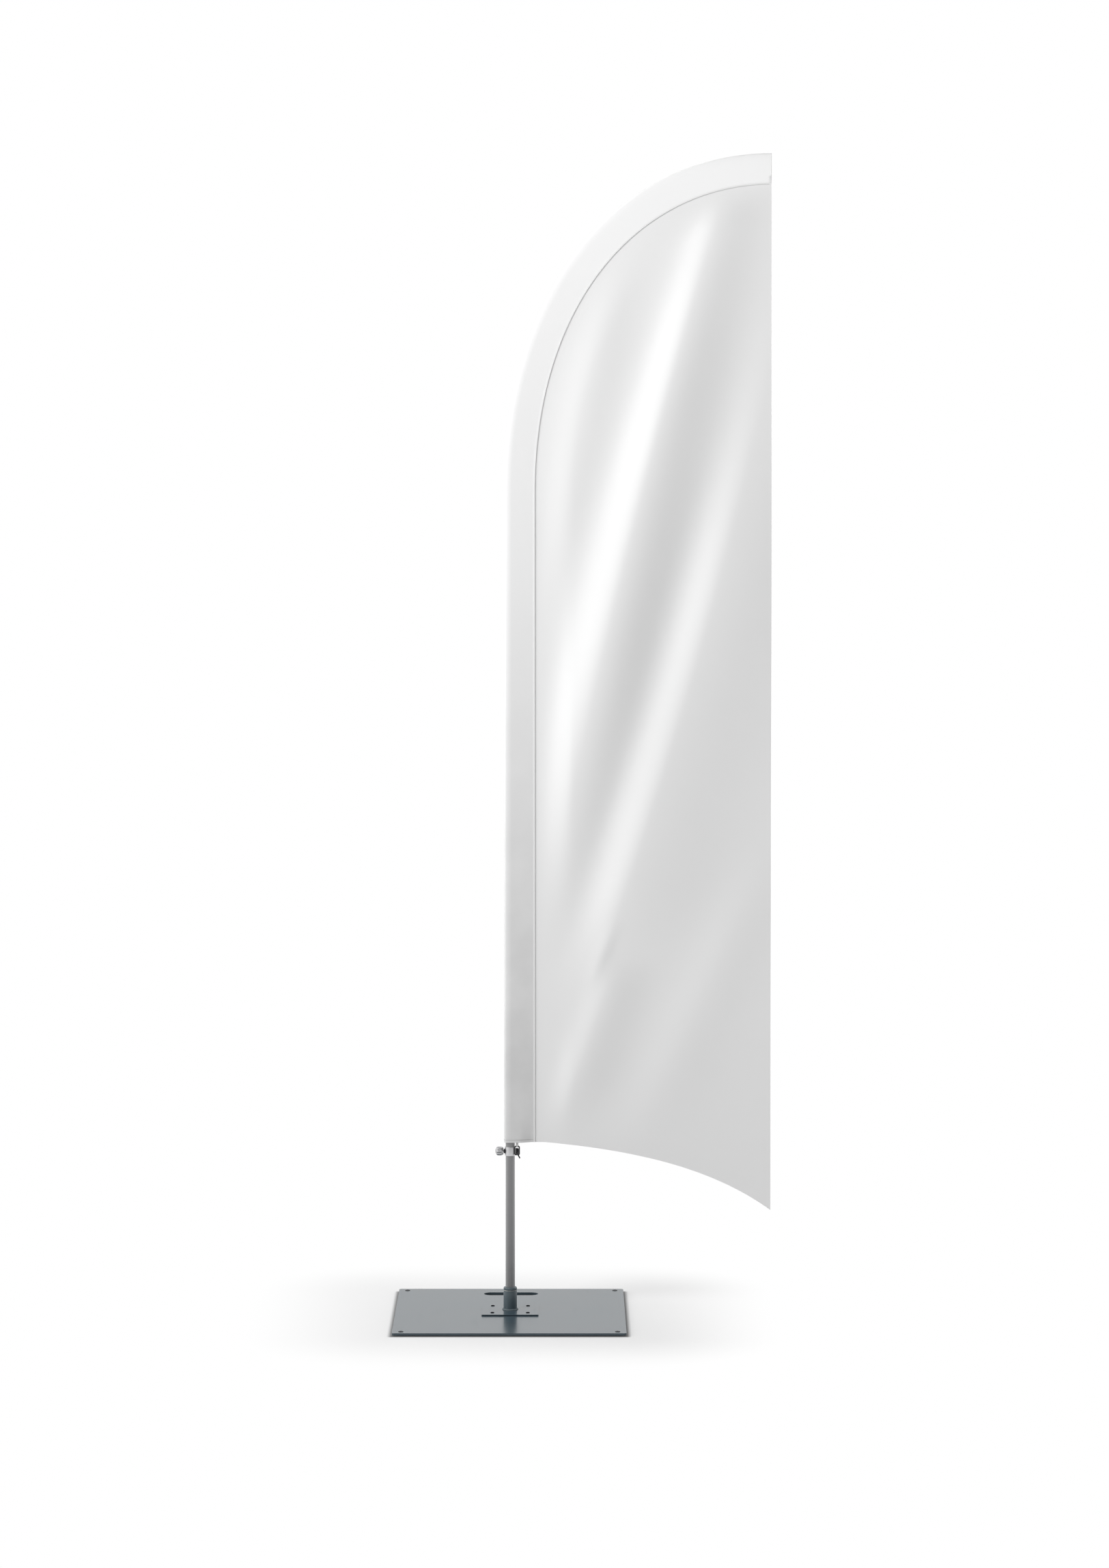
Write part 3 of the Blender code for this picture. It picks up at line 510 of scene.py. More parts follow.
def skin_grid(points: np.ndarray, wrap_u: bool, wrap_v: bool) -> np.ndarray:
    """The quads of a grid of points, as whole arrays.

    Args:
        points: An array of rows, columns and three coordinates.
        wrap_u: Whether the last row joins the first.
        wrap_v: Whether the last column joins the first.

    Returns:
        One row of four vertex numbers for each quad.
    """
    rows, columns = points.shape[:2]
    number = np.arange(rows * columns).reshape(rows, columns)
    if wrap_u:
        number = np.vstack([number, number[:1]])
    if wrap_v:
        number = np.hstack([number, number[:, :1]])
    corners = (number[:-1, :-1], number[:-1, 1:], number[1:, 1:], number[1:, :-1])
    return np.stack(corners, -1).reshape(-1, 4)


def stand_up(
    name: str, places: np.ndarray, faces: list[list[int]], material: bpy.types.Material, sharp_deg: float
) -> bpy.types.Object:
    """An object from its vertices and faces, linked to the scene.

    Args:
        name: The piece's name.
        places: One row of three coordinates for each vertex.
        faces: The vertex numbers of each face.
        material: Its finish.
        sharp_deg: Edges sharper than this angle shade sharp.

    Returns:
        The object, at the origin.
    """
    mesh = bpy.data.meshes.new(name)
    mesh.from_pydata(places.tolist(), [], faces)
    mesh.shade_smooth()
    mesh.set_sharp_from_angle(angle=math.radians(sharp_deg))
    mesh.materials.append(material)
    piece = bpy.data.objects.new(name, mesh)
    bpy.context.collection.objects.link(piece)
    return piece


def make_piece(
    name: str,
    points: np.ndarray,
    material: bpy.types.Material,
    wrap_u: bool = False,
    wrap_v: bool = False,
    fan_ends: bool = False,
    sharp_deg: float = 50.0,
) -> bpy.types.Object:
    """An object from a grid of points.

    Args:
        name: The piece's name.
        points: Rows, columns and three coordinates.
        material: Its finish.
        wrap_u: Whether the last row joins the first.
        wrap_v: Whether the last column joins the first.
        fan_ends: Whether the first and last rows are closed with a fan of triangles.
        sharp_deg: Edges sharper than this angle shade sharp.

    Returns:
        The object, at the origin.
    """
    rows, columns = points.shape[:2]
    quads = skin_grid(points, wrap_u, wrap_v)
    places = points.reshape(-1, 3)
    faces = quads.tolist()
    if fan_ends:
        ring = np.arange(columns)
        after = np.roll(ring, -1)
        last = (rows - 1) * columns
        places = np.vstack([places, points[0].mean(0), points[-1].mean(0)])
        hub = rows * columns
        faces += np.stack([after, ring, np.full(columns, hub)], 1).tolist()
        faces += np.stack([last + ring, last + after, np.full(columns, hub + 1)], 1).tolist()
    return stand_up(name, places, faces, material, sharp_deg)


def face_out(piece: bpy.types.Object) -> bpy.types.Object:
    """Turn a closed piece's faces outwards, judged by the sign of its volume, and hand it back."""
    mesh = piece.data
    mesh.calc_loop_triangles()
    places = np.empty(len(mesh.vertices) * 3)
    mesh.vertices.foreach_get("co", places)
    places = places.reshape(-1, 3) - places.reshape(-1, 3).mean(0)
    corners = np.empty(len(mesh.loop_triangles) * 3, int)
    mesh.loop_triangles.foreach_get("vertices", corners)
    a, b, c = places[corners].reshape(-1, 3, 3).transpose(1, 0, 2)
    if (a * np.cross(b, c)).sum() < 0:
        mesh.flip_normals()
    return piece


def make_slab(
    name: str, points: np.ndarray, thick: float, material: bpy.types.Material, sharp_deg: float = 50.0
) -> bpy.types.Object:
    """A sheet with thickness, closed all round.

    The front and back faces lie half the thickness to each side of the grid, along the cross product of
    its row and column directions, and four strips close the rim.

    Args:
        name: The piece's name.
        points: The middle surface: rows, columns and three coordinates.
        thick: The thickness.
        material: Its finish.
        sharp_deg: Edges sharper than this angle shade sharp.

    Returns:
        The object.
    """
    rows, columns = points.shape[:2]
    square = np.cross(np.gradient(points, axis=0), np.gradient(points, axis=1))
    square /= np.linalg.norm(square, axis=2)[..., None] + 1e-12
    places = np.concatenate([points + square * thick / 2, points - square * thick / 2]).reshape(-1, 3)
    face = skin_grid(points, False, False)
    number = np.arange(rows * columns).reshape(rows, columns)
    rim = np.concatenate([number[0, :-1], number[:-1, -1], number[-1, :0:-1], number[:0:-1, 0]])
    onward = np.roll(rim, -1)
    shift = rows * columns
    strips = np.stack([onward, rim, rim + shift, onward + shift], 1)
    faces = np.vstack([face, face[:, ::-1] + shift, strips]).tolist()
    return face_out(stand_up(name, places, faces, material, sharp_deg))


def map_grid(piece: bpy.types.Object, across: np.ndarray, along: np.ndarray) -> None:
    """Give a slab a UV map that is the same on both faces.

    Args:
        piece: A slab made from a grid.
        across: U of each point of the grid.
        along: V of each point of the grid.
    """
    mesh = piece.data
    across = np.tile(across, 2)
    along = np.tile(along, 2)
    layer = mesh.uv_layers.new(name="weave")
    corner = np.empty(len(mesh.loops), int)
    mesh.loops.foreach_get("vertex_index", corner)
    pairs = np.stack([across[corner], along[corner]], 1)
    layer.data.foreach_set("uv", pairs.ravel())


def soften(profile: list[Pair], radius: float, closed: bool, steps: int = 4) -> np.ndarray:
    """Round a profile's corners.

    Each corner becomes a quadratic curve that leaves its two edges at the same distance from the corner:
    the radius, or 45% of the shorter edge where that is less.

    Args:
        profile: Corner points.
        radius: The distance cut from each edge.
        closed: Whether the last point joins the first.
        steps: Points on each corner.

    Returns:
        The rounded profile.
    """
    corners = np.asarray(profile, float)
    before = np.roll(corners, 1, axis=0)
    after = np.roll(corners, -1, axis=0)
    back = before - corners
    ahead = after - corners
    back_length = np.linalg.norm(back, axis=1)
    ahead_length = np.linalg.norm(ahead, axis=1)
    cut = np.minimum(radius, 0.45 * np.minimum(back_length, ahead_length))[:, None]
    start = corners + back / back_length[:, None] * cut
    end = corners + ahead / ahead_length[:, None] * cut
    share = np.linspace(0, 1, steps)[None, :, None]
    curve = (
        (1 - share) ** 2 * start[:, None]
        + 2 * share * (1 - share) * corners[:, None]
        + share ** 2 * end[:, None]
    )
    if closed:
        return curve.reshape(-1, 2)
    return np.vstack([corners[:1], curve[1:-1].reshape(-1, 2), corners[-1:]])


class Axis(Enum):
    """The axis that a turned piece is turned about."""

    X = 0
    Z = 2


def turn(
    name: str,
    profile: np.ndarray,
    material: bpy.types.Material,
    centre: Pair = (0.0, 0.0),
    axis: Axis = Axis.Z,
    sides: int = 96,
    closed: bool = False,
    wave: np.ndarray | None = None,
) -> bpy.types.Object:
    """A turned piece: its profile of radius and distance, carried round an axis.

    Args:
        name: The piece's name.
        profile: Radius and distance along the axis, row by row.
        material: Its finish.
        centre: The axis's place in the two other coordinates.
        axis: The axis.
        sides: Points round it.
        closed: Whether the profile is a loop, as on a ring.
        wave: A factor on the radius for each row and side, if the piece isn't round.

    Returns:
        The object.
    """
    angle = angles_round(sides)
    reach = profile[:, :1] * (np.ones((1, sides)) if wave is None else wave)
    first = reach * np.cos(angle) + centre[0]
    second = reach * np.sin(angle) + centre[1]
    level = np.repeat(profile[:, 1:2], sides, axis=1)
    if axis is Axis.Z:
        points = np.stack([first, second, level], -1)
    else:
        points = np.stack([level, first, second], -1)
    return face_out(make_piece(name, points, material, wrap_u=closed, wrap_v=True, fan_ends=not closed))


def carry(
    name: str,
    path: np.ndarray,
    radius: np.ndarray | float,
    material: bpy.types.Material,
    guide: Triple,
    sides: int = 24,
    closed: bool = False,
) -> bpy.types.Object:
    """A round bar carried along a path.

    Each ring lies square to the path. Its first direction is the path's crossed with the guide.

    Args:
        name: The piece's name.
        path: Points of the centre line.
        radius: One radius, or one for each point.
        material: Its finish.
        guide: A direction that the path never takes.
        sides: Points round the bar.
        closed: Whether the path is a loop.

    Returns:
        The object.
    """
    if closed:
        ahead = np.roll(path, -1, axis=0) - np.roll(path, 1, axis=0)
    else:
        ahead = np.gradient(path, axis=0)
    ahead = unit_rows(ahead)
    side = unit_rows(np.cross(ahead, np.asarray(guide, float)))
    other = np.cross(ahead, side)
    angle = angles_round(sides)
    reach = np.broadcast_to(np.asarray(radius, float), (len(path),))[:, None, None]
    ring = np.cos(angle)[None, :, None] * side[:, None] + np.sin(angle)[None, :, None] * other[:, None]
    points = path[:, None] + reach * ring
    return face_out(make_piece(name, points, material, wrap_u=closed, wrap_v=True, fan_ends=not closed))


def through(corners: list[Triple], count: int) -> np.ndarray:
    """A smooth Catmull-Rom curve through corner points, as one array.

    Args:
        corners: The points that it passes.
        count: Points on the curve.

    Returns:
        The curve's points.
    """
    knots = np.asarray(corners, float)
    knots = np.vstack([2 * knots[0] - knots[1], knots, 2 * knots[-1] - knots[-2]])
    place = np.linspace(0, len(corners) - 1, count)
    index = np.minimum(place.astype(int), len(corners) - 2)
    t = (place - index)[:, None]
    a, b, c, d = (knots[index + step] for step in range(4))
    square = (2 * a - 5 * b + 4 * c - d) * t ** 2
    cube = (3 * b - a - 3 * c + d) * t ** 3
    return 0.5 * (2 * b + (c - a) * t + square + cube)


def smooth_step(value: np.ndarray) -> np.ndarray:
    """A smooth rise from 0 at 0 to 1 at 1."""
    value = np.clip(value, 0, 1)
    return value * value * (3 - 2 * value)


def give(piece: bpy.types.Object, body: str, slot: str, *nodes: str) -> bpy.types.Object:
    """Let a piece ride on a body and stand for CAD nodes, and log it.

    Args:
        piece: The finished piece.
        body: The body that it rides on.
        slot: Not used.
        nodes: The CAD nodes that it replaces.

    Returns:
        The same piece.
    """
    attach(piece, body)
    if nodes:
        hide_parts(*nodes)
    log.info("%s rides on %s, faces %d", piece.name, body, len(piece.data.polygons))
    return piece


def dress(material: bpy.types.Material, *nodes: str) -> None:
    """Give CAD nodes that stay a better material.

    Args:
        material: Their finish.
        nodes: The nodes' names.
    """
    for node in nodes:
        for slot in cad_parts[node].material_slots:
            slot.material = material
        log.info("%s keeps its CAD shape", node)


def upright(node: str) -> tuple[Pair, float]:
    """The axis, in X and Y, and the radius of a round CAD node that stands upright."""
    low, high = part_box(node)
    return ((low.x + high.x) / 2, (low.y + high.y) / 2), (high.x - low.x) / 2


# ---------------------------------------------------------------- base

@dataclass
class Base:
    """The mat, plate, flange, socket and their fasteners."""

    finishes: Finishes
    bore_radius: float = 0.0132
    bead_width: float = 0.0026
    bead_ripples: int = 46
    ripple_share: float = 0.07
    ripple_lean: float = 1.6
    bead_hollow: float = 1.3
    rivet_shank: float = 0.0032
    screw_dome: float = 0.0014
    screw_recess_radius: float = 0.0017
    screw_recess_depth: float = 0.0016

    def build(self) -> None:
        """Build the turned pieces and dress the flat ones."""
        self._socket()
        self._bead()
        for number in range(1, 5):
            self._rivet(number)
            self._screw(number)
        dress(self.finishes.rubber, "rubber_mat")
        dress(self.finishes.base_paint, "base_plate", "flange_plate")
        dress(self.finishes.nylon, "lower_bush", "upper_bush", "thrust_washer")

    def _socket(self) -> None:
        """The socket is a tube with softened edges."""
        low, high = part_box("socket_tube")
        corners = [
            (high.x, low.z), (high.x, high.z), (self.bore_radius, high.z), (self.bore_radius, low.z)
        ]
        profile = soften(corners, 0.0006, closed=True)
        give(
            turn("socket_shell", profile, self.finishes.socket_lit_paint, closed=True),
            "base", "dark_paint", "socket_tube",
        )

    def _bead(self) -> None:
        """The weld is a quarter-round fillet whose width swells and shrinks round the tube.

        The outer reach is the bead's width times one plus a small sine of the angle times the ripples,
        and each ripple leans forward, as a hand-laid weld's does.
        """
        low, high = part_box("weld_bead")
        inner = high.x - self.bead_width
        height = high.z - low.z
        sides = 480
        turn_angle = angles_round(sides)
        quarter = np.linspace(0, math.pi / 2, 9)
        phase = self.bead_ripples * turn_angle[:, None] + self.ripple_lean * quarter[None, :]
        ripple = 1 - self.ripple_share + self.ripple_share * np.sin(phase)
        reach = inner + self.bead_width * ripple * np.cos(quarter)[None, :] ** self.bead_hollow
        level = low.z + height * np.sin(quarter)[None, :] ** self.bead_hollow * ripple
        reach = np.hstack([reach, np.full((sides, 1), inner)])
        level = np.hstack([level, np.full((sides, 1), low.z)])
        points = np.stack([
            reach * np.cos(turn_angle)[:, None], reach * np.sin(turn_angle)[:, None], level
        ], -1)
        bead = make_piece("weld_fillet", points, self.finishes.socket_lit_paint, wrap_u=True, wrap_v=True)
        give(face_out(bead), "base", "dark_paint", "weld_bead")

    def _rivet(self, number: int) -> None:
        """A push rivet with a domed head and a dimple where its pin was driven in."""
        node = f"mat_rivet_{number}"
        low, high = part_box(node)
        centre, radius = upright(node)
        head = high.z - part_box("base_plate")[1].z - 0.0003
        seat = high.z - head
        corners = [
            (self.rivet_shank, low.z),
            (self.rivet_shank, seat),
            (radius, seat),
            (radius, seat + 0.45 * head),
            (0.62 * radius, high.z),
            (0.40 * radius, high.z),
            (0.34 * radius, high.z - 0.5 * head),
            (0.05 * radius, high.z - 0.55 * head),
        ]
        profile = soften(corners, 0.0004, closed=False)
        give(
            turn(f"push_rivet_{number}", profile, self.finishes.black_plastic, centre, sides=48),
            "base", "black_plastic", node,
        )

    def _screw(self, number: int) -> None:
        """A screw with a cone below its domed head, and a hexagonal recess whose rings follow a hexagon."""
        node = f"flange_screw_{number}"
        low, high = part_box(node)
        centre, radius = upright(node)
        shank = radius / 2
        seat = high.z - self.screw_dome
        cone_z = seat - (radius - shank)
        recess = self.screw_recess_radius
        floor_z = high.z - self.screw_recess_depth
        profile = np.array([
            (shank, low.z),
            (shank, cone_z),
            (radius, seat),
            (radius * 0.97, seat + 0.0005),
            (radius * 0.89, high.z - 0.0004),
            (radius * 0.72, high.z),
            (recess * 1.12, high.z),
            (recess, high.z - 0.0001),
            (recess, floor_z),
            (recess * 0.3, floor_z - 0.0004),
        ])
        sides = 48
        angle = angles_round(sides)
        sector = np.mod(angle, TAU / 6) - TAU / 12
        hexagon = math.cos(TAU / 12) / np.cos(sector)
        hex_share = np.repeat([0, 1], [6, 4])[:, None]
        wave = 1 + hex_share * (hexagon[None, :] - 1)
        finish = self.finishes.black_oxide
        screw = turn(f"hex_screw_{number}", profile, finish, centre, sides=sides, wave=wave)
        give(screw, "base", "black_steel", node)


# ---------------------------------------------------------------- rotor

@dataclass
class Rotor:
    """The sleeve that turns in the socket, whose cap shows above the groove."""

    finishes: Finishes
    sleeve_radius: float = 0.0116
    bore_radius: float = 0.0108
    floor_z: float = 0.0190
    cap_height: float = 0.0067
    groove_low: float = 0.0009
    groove_width: float = 0.0017

    def build(self) -> None:
        """Turn the sleeve with its cap, and dress the circlip."""
        low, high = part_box("rotor_sleeve")
        cap_z = high.z - self.cap_height
        groove = low.z + self.groove_low
        corners = [
            (self.sleeve_radius * 0.6, low.z),
            (self.sleeve_radius, low.z),
            (self.sleeve_radius, groove),
            (self.sleeve_radius - 0.0010, groove),
            (self.sleeve_radius - 0.0010, groove + self.groove_width),
            (self.sleeve_radius, groove + self.groove_width),
            (self.sleeve_radius, cap_z),
            (high.x, cap_z),
            (high.x, high.z - 0.0022),
            (high.x - 0.0020, high.z),
            (self.bore_radius, high.z),
            (self.bore_radius, self.floor_z),
            (self.bore_radius * 0.5, self.floor_z),
        ]
        profile = soften(corners, 0.0009, closed=False, steps=5)
        give(
            turn("rotor_cap_and_sleeve", profile, self.finishes.socket_lit_paint),
            "rotor", "dark_paint", "rotor_sleeve",
        )
        dress(self.finishes.turned_steel, "circlip")


# ---------------------------------------------------------------- mast

@dataclass
class Mast:
    """The plug-in pole sections. Only the lowest shows, below the flag."""

    finishes: Finishes
    top_radius: float = 0.0098
    wall: float = 0.0013

    def build(self) -> None:
        """Turn the lowest section and dress the others."""
        low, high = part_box("lower_mast")
        share = np.linspace(0, 1, 40)
        outer = high.x + (self.top_radius - high.x) * share
        level = low.z + (high.z - low.z) * share
        outside = np.stack([outer, level], 1)
        outside[0, 0] -= 0.0004
        inside = np.stack([outer - self.wall, level], 1)[::-1]
        profile = np.vstack([outside[:1], outside[:1] + (0.0004, 0.0004), outside[1:], inside])
        give(
            turn("lower_mast_tube", profile, self.finishes.mast_metal, closed=True, sides=128),
            "mast", "mast_metal", "lower_mast",
        )
        dress(self.finishes.mast_metal, "second_mast")
        dress(self.finishes.fibre, "third_mast", "tip_rod")
        dress(self.finishes.turned_steel, "ferrule_1", "ferrule_2")
        dress(self.finishes.brass, "ferrule_3")
        dress(self.finishes.black_plastic, "foot_plug", "tip_cap")


# ---------------------------------------------------------------- flag

@dataclass(frozen=True)
class Fold:
    """One soft fold that runs down across the cloth, drawn by the line of its crest.

    Attributes:
        top: X and Z where the crest begins.
        bottom: X and Z where it ends.
        bow: How far its middle lies towards the free edge of a straight line.
        widths: The half width on the pole's side, at the top and at the bottom.
        steep: Its height over its half width.
        spread: The half width on the free edge's side, over that on the pole's side.
        fades: The share of its length over which it rises at the top and dies away at the bottom.
    """

    top: Pair
    bottom: Pair
    bow: float
    widths: Pair
    steep: float
    spread: float = 1.0
    fades: Pair = (0.30, 0.25)

    def depth(self, across: np.ndarray, up: np.ndarray) -> np.ndarray:
        """How far the cloth stands forward.

        The crest bows sideways as a parabola. Square to it the fold is a bell curve with a half width of
        its own on each side, and along it the height follows the width and the two fades.

        Args:
            across: X of each point.
            up: Z of each point.

        Returns:
            The height of the fold at each point.
        """
        run = (self.top[1] - up) / (self.top[1] - self.bottom[1])
        held = np.clip(run, -0.3, 1.3)
        crest = self.top[0] + (self.bottom[0] - self.top[0]) * held + self.bow * 4 * held * (1 - held)
        lean = (self.bottom[0] - self.top[0]) / (self.top[1] - self.bottom[1])
        away = (across - crest) / math.hypot(1, lean)
        width = self.widths[0] + (self.widths[1] - self.widths[0]) * np.clip(run, 0, 1)
        bell = np.exp(-(away / (width * np.where(away > 0, self.spread, 1.0))) ** 2)
        rise = smooth_step((run + self.fades[0]) / (2 * self.fades[0]))
        fall = smooth_step((1 + self.fades[1] - run) / (2 * self.fades[1]))
        return self.steep * width * rise * fall * bell


@dataclass
class Flag:
    """The cloth panel, the pole pocket, and the stitching between them."""

    finishes: Finishes
    arch_start: float = 1.7938
    arch_rise_handle: float = 0.4501
    arch_top_handle: float = 0.3210
    pocket_width: float = 0.0676
    pocket_half_thick: float = 0.0113
    seam_flat: float = 0.004
    mouth_flat: float = 0.006
    mouth_level_to: float = 0.033
    mouth_to: float = 0.376
    mouth_fade: float = 0.035
    pocket_tip_half_thick: float = 0.0040
    taper_from: float = 0.45
    tip_full_to: float = 0.85
    tip_press: float = 0.12
    ply_thick: float = 0.0004
    hem_flat_to: float = 0.0899
    hem_left_handle: float = 0.1453
    hem_left_slope: float = 0.087
    hem_right_handle: float = 0.1464
    hem_right_slope: float = 0.732
    seam_hold: float = 0.085
    tape_width: float = 0.0034
    tape_depth: float = 0.0014
    stitch_pitch: float = 0.0032
    stitch_radius: float = 0.00034
    stitch_half_length: float = 0.0013
    mouth_stitch_rise: float = 0.006
    stitch_inset: float = 0.0030
    folds: tuple[Fold, ...] = (
        Fold((0.456, 2.40), (0.136, 1.13), -0.014, (0.044, 0.074), 0.71, 1.7, (0.44, 0.28)),
        Fold((0.525, 1.88), (0.206, 0.79), 0.016, (0.058, 0.058), 0.56, 2.7, (0.40, 0.14)),
        Fold((0.225, 2.28), (0.085, 1.60), 0.0, (0.055, 0.050), 0.13, 1.0, (0.30, 0.30)),
        Fold((0.385, 1.70), (0.165, 0.90), 0.0, (0.050, 0.046), -0.22, 1.0, (0.35, 0.25)),
        Fold((0.224, 0.74), (0.126, 0.46), 0.0, (0.040, 0.040), 0.40, 1.5, (0.20, 0.30)),
        Fold((0.540, 0.95), (0.300, 0.43), 0.0, (0.055, 0.055), 0.18, 1.3, (0.30, 0.30)),
        Fold((0.220, 0.84), (0.182, 0.74), 0.0, (0.016, 0.016), 0.22, 1.0, (0.40, 0.40)),
    )

    def __post_init__(self) -> None:
        """Read the flag's corners from the frame."""
        low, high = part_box("pole_pocket")
        self.edge_x = low.x
        self.hem_z = low.z
        self.free_x = high.x
        self.top_z = high.z
        self.tip_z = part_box("flag_panel")[0].z

    def build(self) -> None:
        """Make the panel, the pocket and the stitches."""
        pocket = self._pocket()
        panel = self._panel()
        seam_pieces = [
            maker(name + side, sign)
            for maker, name in ((self._tape, "seam_tape_"), (self._stitches, "seam_stitches_"))
            for side, sign in (("front", -1), ("back", 1))
        ]
        seam_pieces.append(self._mouth_stitches())
        line_length = self._line_length()

    def _bezier(self, corners: list[Pair], share: np.ndarray) -> np.ndarray:
        """A cubic Bezier in X and Z."""
        a, b, c, d = (np.asarray(corner, float) for corner in corners)
        t = share[:, None]
        return (1 - t) ** 3 * a + 3 * (1 - t) ** 2 * t * b + 3 * (1 - t) * t ** 2 * c + t ** 3 * d

    def _outer_edge(self, rise_steps: int, arch_steps: int) -> tuple[np.ndarray, np.ndarray]:
        """The flag's outer edge with its inward normals: a straight rise, then one Bezier arch.

        Args:
            rise_steps: Points on the straight rise.
            arch_steps: Steps on the arch.

        Returns:
            The points in X and Z, and the inward normals.
        """
        rise = np.stack([
            np.full(rise_steps, self.edge_x),
            np.linspace(self.hem_z, self.arch_start, rise_steps, endpoint=False),
        ], 1)
        arch = self._bezier([
            (self.edge_x, self.arch_start),
            (self.edge_x, self.arch_start + self.arch_rise_handle),
            (self.free_x - self.arch_top_handle, self.top_z),
            (self.free_x, self.top_z),
        ], np.linspace(0, 1, arch_steps + 1))
        line = np.vstack([rise, arch])
        ahead = np.gradient(line, axis=0)
        ahead[:rise_steps + 1] = (0, 1)
        ahead[-1] = (1, 0)
        ahead = unit_rows(ahead)
        return line, np.stack([ahead[:, 1], -ahead[:, 0]], 1)

    def _line_length(self) -> float:
        """The length of the outer edge."""
        line, _ = self._outer_edge(2, 200)
        return float(distance_along(line)[-1])

    def _panel(self) -> bpy.types.Object:
        """The panel: columns stand on the hem curve and end under the seam.

        The columns' places across follow the arch's own steps, so they crowd where the seam is steep.
        The height forward is the sum of the folds and a slow wave, and it dies away at the seam.
        """
        rows = 300
        line, inward = self._outer_edge(1, 120)
        seam = line[1:] + inward[1:] * (self.pocket_width - self.stitch_inset)
        across = seam[:, 0]
        top = seam[:, 1]
        first = self.edge_x + self.hem_flat_to
        left_drop = self.hem_left_handle * self.hem_left_slope
        right_rise = self.hem_right_handle * self.hem_right_slope
        hem_curve = self._bezier([
            (first, self.hem_z),
            (first + self.hem_left_handle, self.hem_z - left_drop),
            (self.free_x - self.hem_right_handle, self.tip_z + right_rise),
            (self.free_x, self.tip_z),
        ], np.linspace(0, 1, 80))
        bottom = np.interp(across, hem_curve[:, 0], hem_curve[:, 1], left=self.hem_z)
        share = np.linspace(0, 1, rows)[None, :]
        up = bottom[:, None] + (top - bottom)[:, None] * share
        x = np.repeat(across[:, None], rows, axis=1)
        self.panel_area = float(np.trapz(top - bottom, across))
        forward = sum(fold.depth(x, up) for fold in self.folds)
        forward = forward + 0.004 * np.sin(5.0 * x + 2.1 * up) * np.sin(2.4 * up + 0.7)
        seam_distance = self._seam_distance(x, up, seam)
        forward = forward * smooth_step(seam_distance / self.seam_hold)
        points = np.stack([x, -forward, up], -1)
        panel = make_slab("flag_cloth", points, self.ply_thick, self.finishes.panel_cloth)
        return give(panel, "mast", "panel_cloth", "flag_panel")

    def _seam_distance(self, x: np.ndarray, up: np.ndarray, seam: np.ndarray) -> np.ndarray:
        """The distance of each point from the seam, measured along X or Z, whichever is less."""
        top = np.interp(x, seam[:, 0], seam[:, 1])
        side = np.interp(up, seam[:, 1], seam[:, 0], left=seam[0, 0])
        right = np.maximum(x - side, 0)
        below = np.maximum(top - up, 0)
        return right * below / np.sqrt(right ** 2 + below ** 2 + 1e-12)

    def _section(self, half_thick: np.ndarray, open_share: np.ndarray) -> np.ndarray:
        """The pocket's section at each station, from the front seam round the nose to the back seam.

        The nose is a squared-off half ellipse round the mast: its inset and its depth are square roots
        of a cosine and a sine. Behind it the plies are pulled straight to the seam, except at the mouth,
        where they run level past the strap and then close along half a cosine.

        Args:
            half_thick: The pocket's half thickness at each station.
            open_share: How far each station takes the mouth's shape, from 0 to 1.

        Returns:
            Stations, section points, and the inset and depth of each.
        """
        nose = -self.edge_x
        nose_steps = 12
        turn_in = np.linspace(0, math.pi / 2, nose_steps)
        inset_nose = nose * (1 - np.sqrt(np.cos(turn_in)))
        rise_nose = np.sqrt(np.sin(turn_in))
        inset_back = np.linspace(nose, self.pocket_width, 22)[1:]
        taut = 1 - np.clip((inset_back - nose) / (self.pocket_width - self.seam_flat - nose), 0, 1)
        level_to = self.mouth_level_to
        share = np.clip((inset_back - level_to) / (self.pocket_width - self.mouth_flat - level_to), 0, 1)
        loose = (1 + np.cos(math.pi * share)) / 2
        rise_back = taut + (loose - taut) * open_share[:, None]
        inset = np.concatenate([inset_nose, inset_back])
        closed_half = 0.0009
        stations = len(half_thick)
        rise = np.hstack([np.tile(rise_nose, (stations, 1)), rise_back])
        swell = np.hstack([np.zeros((stations, nose_steps)), 1 - rise_back])
        depth = half_thick[:, None] * rise + closed_half * swell
        inset = np.broadcast_to(inset, depth.shape)
        front = np.stack([inset, -depth], -1)[:, ::-1]
        back = np.stack([inset, depth], -1)[:, 1:]
        return np.concatenate([front, back], axis=1)

    def _half_thick(self, line: np.ndarray) -> np.ndarray:
        """The pocket's half thickness along its outer edge: full over the stout sections, then less."""
        along = distance_along(line)
        share = np.clip((along / along[-1] - self.taper_from) / (1 - self.taper_from), 0, 1)
        return self.pocket_half_thick + (self.pocket_tip_half_thick - self.pocket_half_thick) * share

    def _pocket(self) -> bpy.types.Object:
        """The pocket: its section carried up the outer edge, open at the hem and sewn shut at the tip.

        The last station is pressed nearly flat, and one more station close before it keeps the rest full.
        """
        line, inward = self._outer_edge(70, 110)
        mouth_share = 1 - smooth_step((line[:, 1] - self.mouth_to) / self.mouth_fade)
        section = self._section(self._half_thick(line), mouth_share)
        self.section_length = float(distance_along(section[0])[-1])
        place = line[:, None] + inward[:, None] * section[:, :, :1]
        points = np.stack([place[..., 0], section[..., 1], place[..., 1]], -1)
        near_end = points[-2] + (points[-1] - points[-2]) * self.tip_full_to
        points[-1, :, 1] *= self.tip_press
        points = np.concatenate([points[:-1], near_end[None], points[-1:]])
        pocket = make_slab("pocket_cloth", points, self.ply_thick, self.finishes.pocket_cloth)
        return give(pocket, "mast", "pocket_cloth", "pole_pocket")

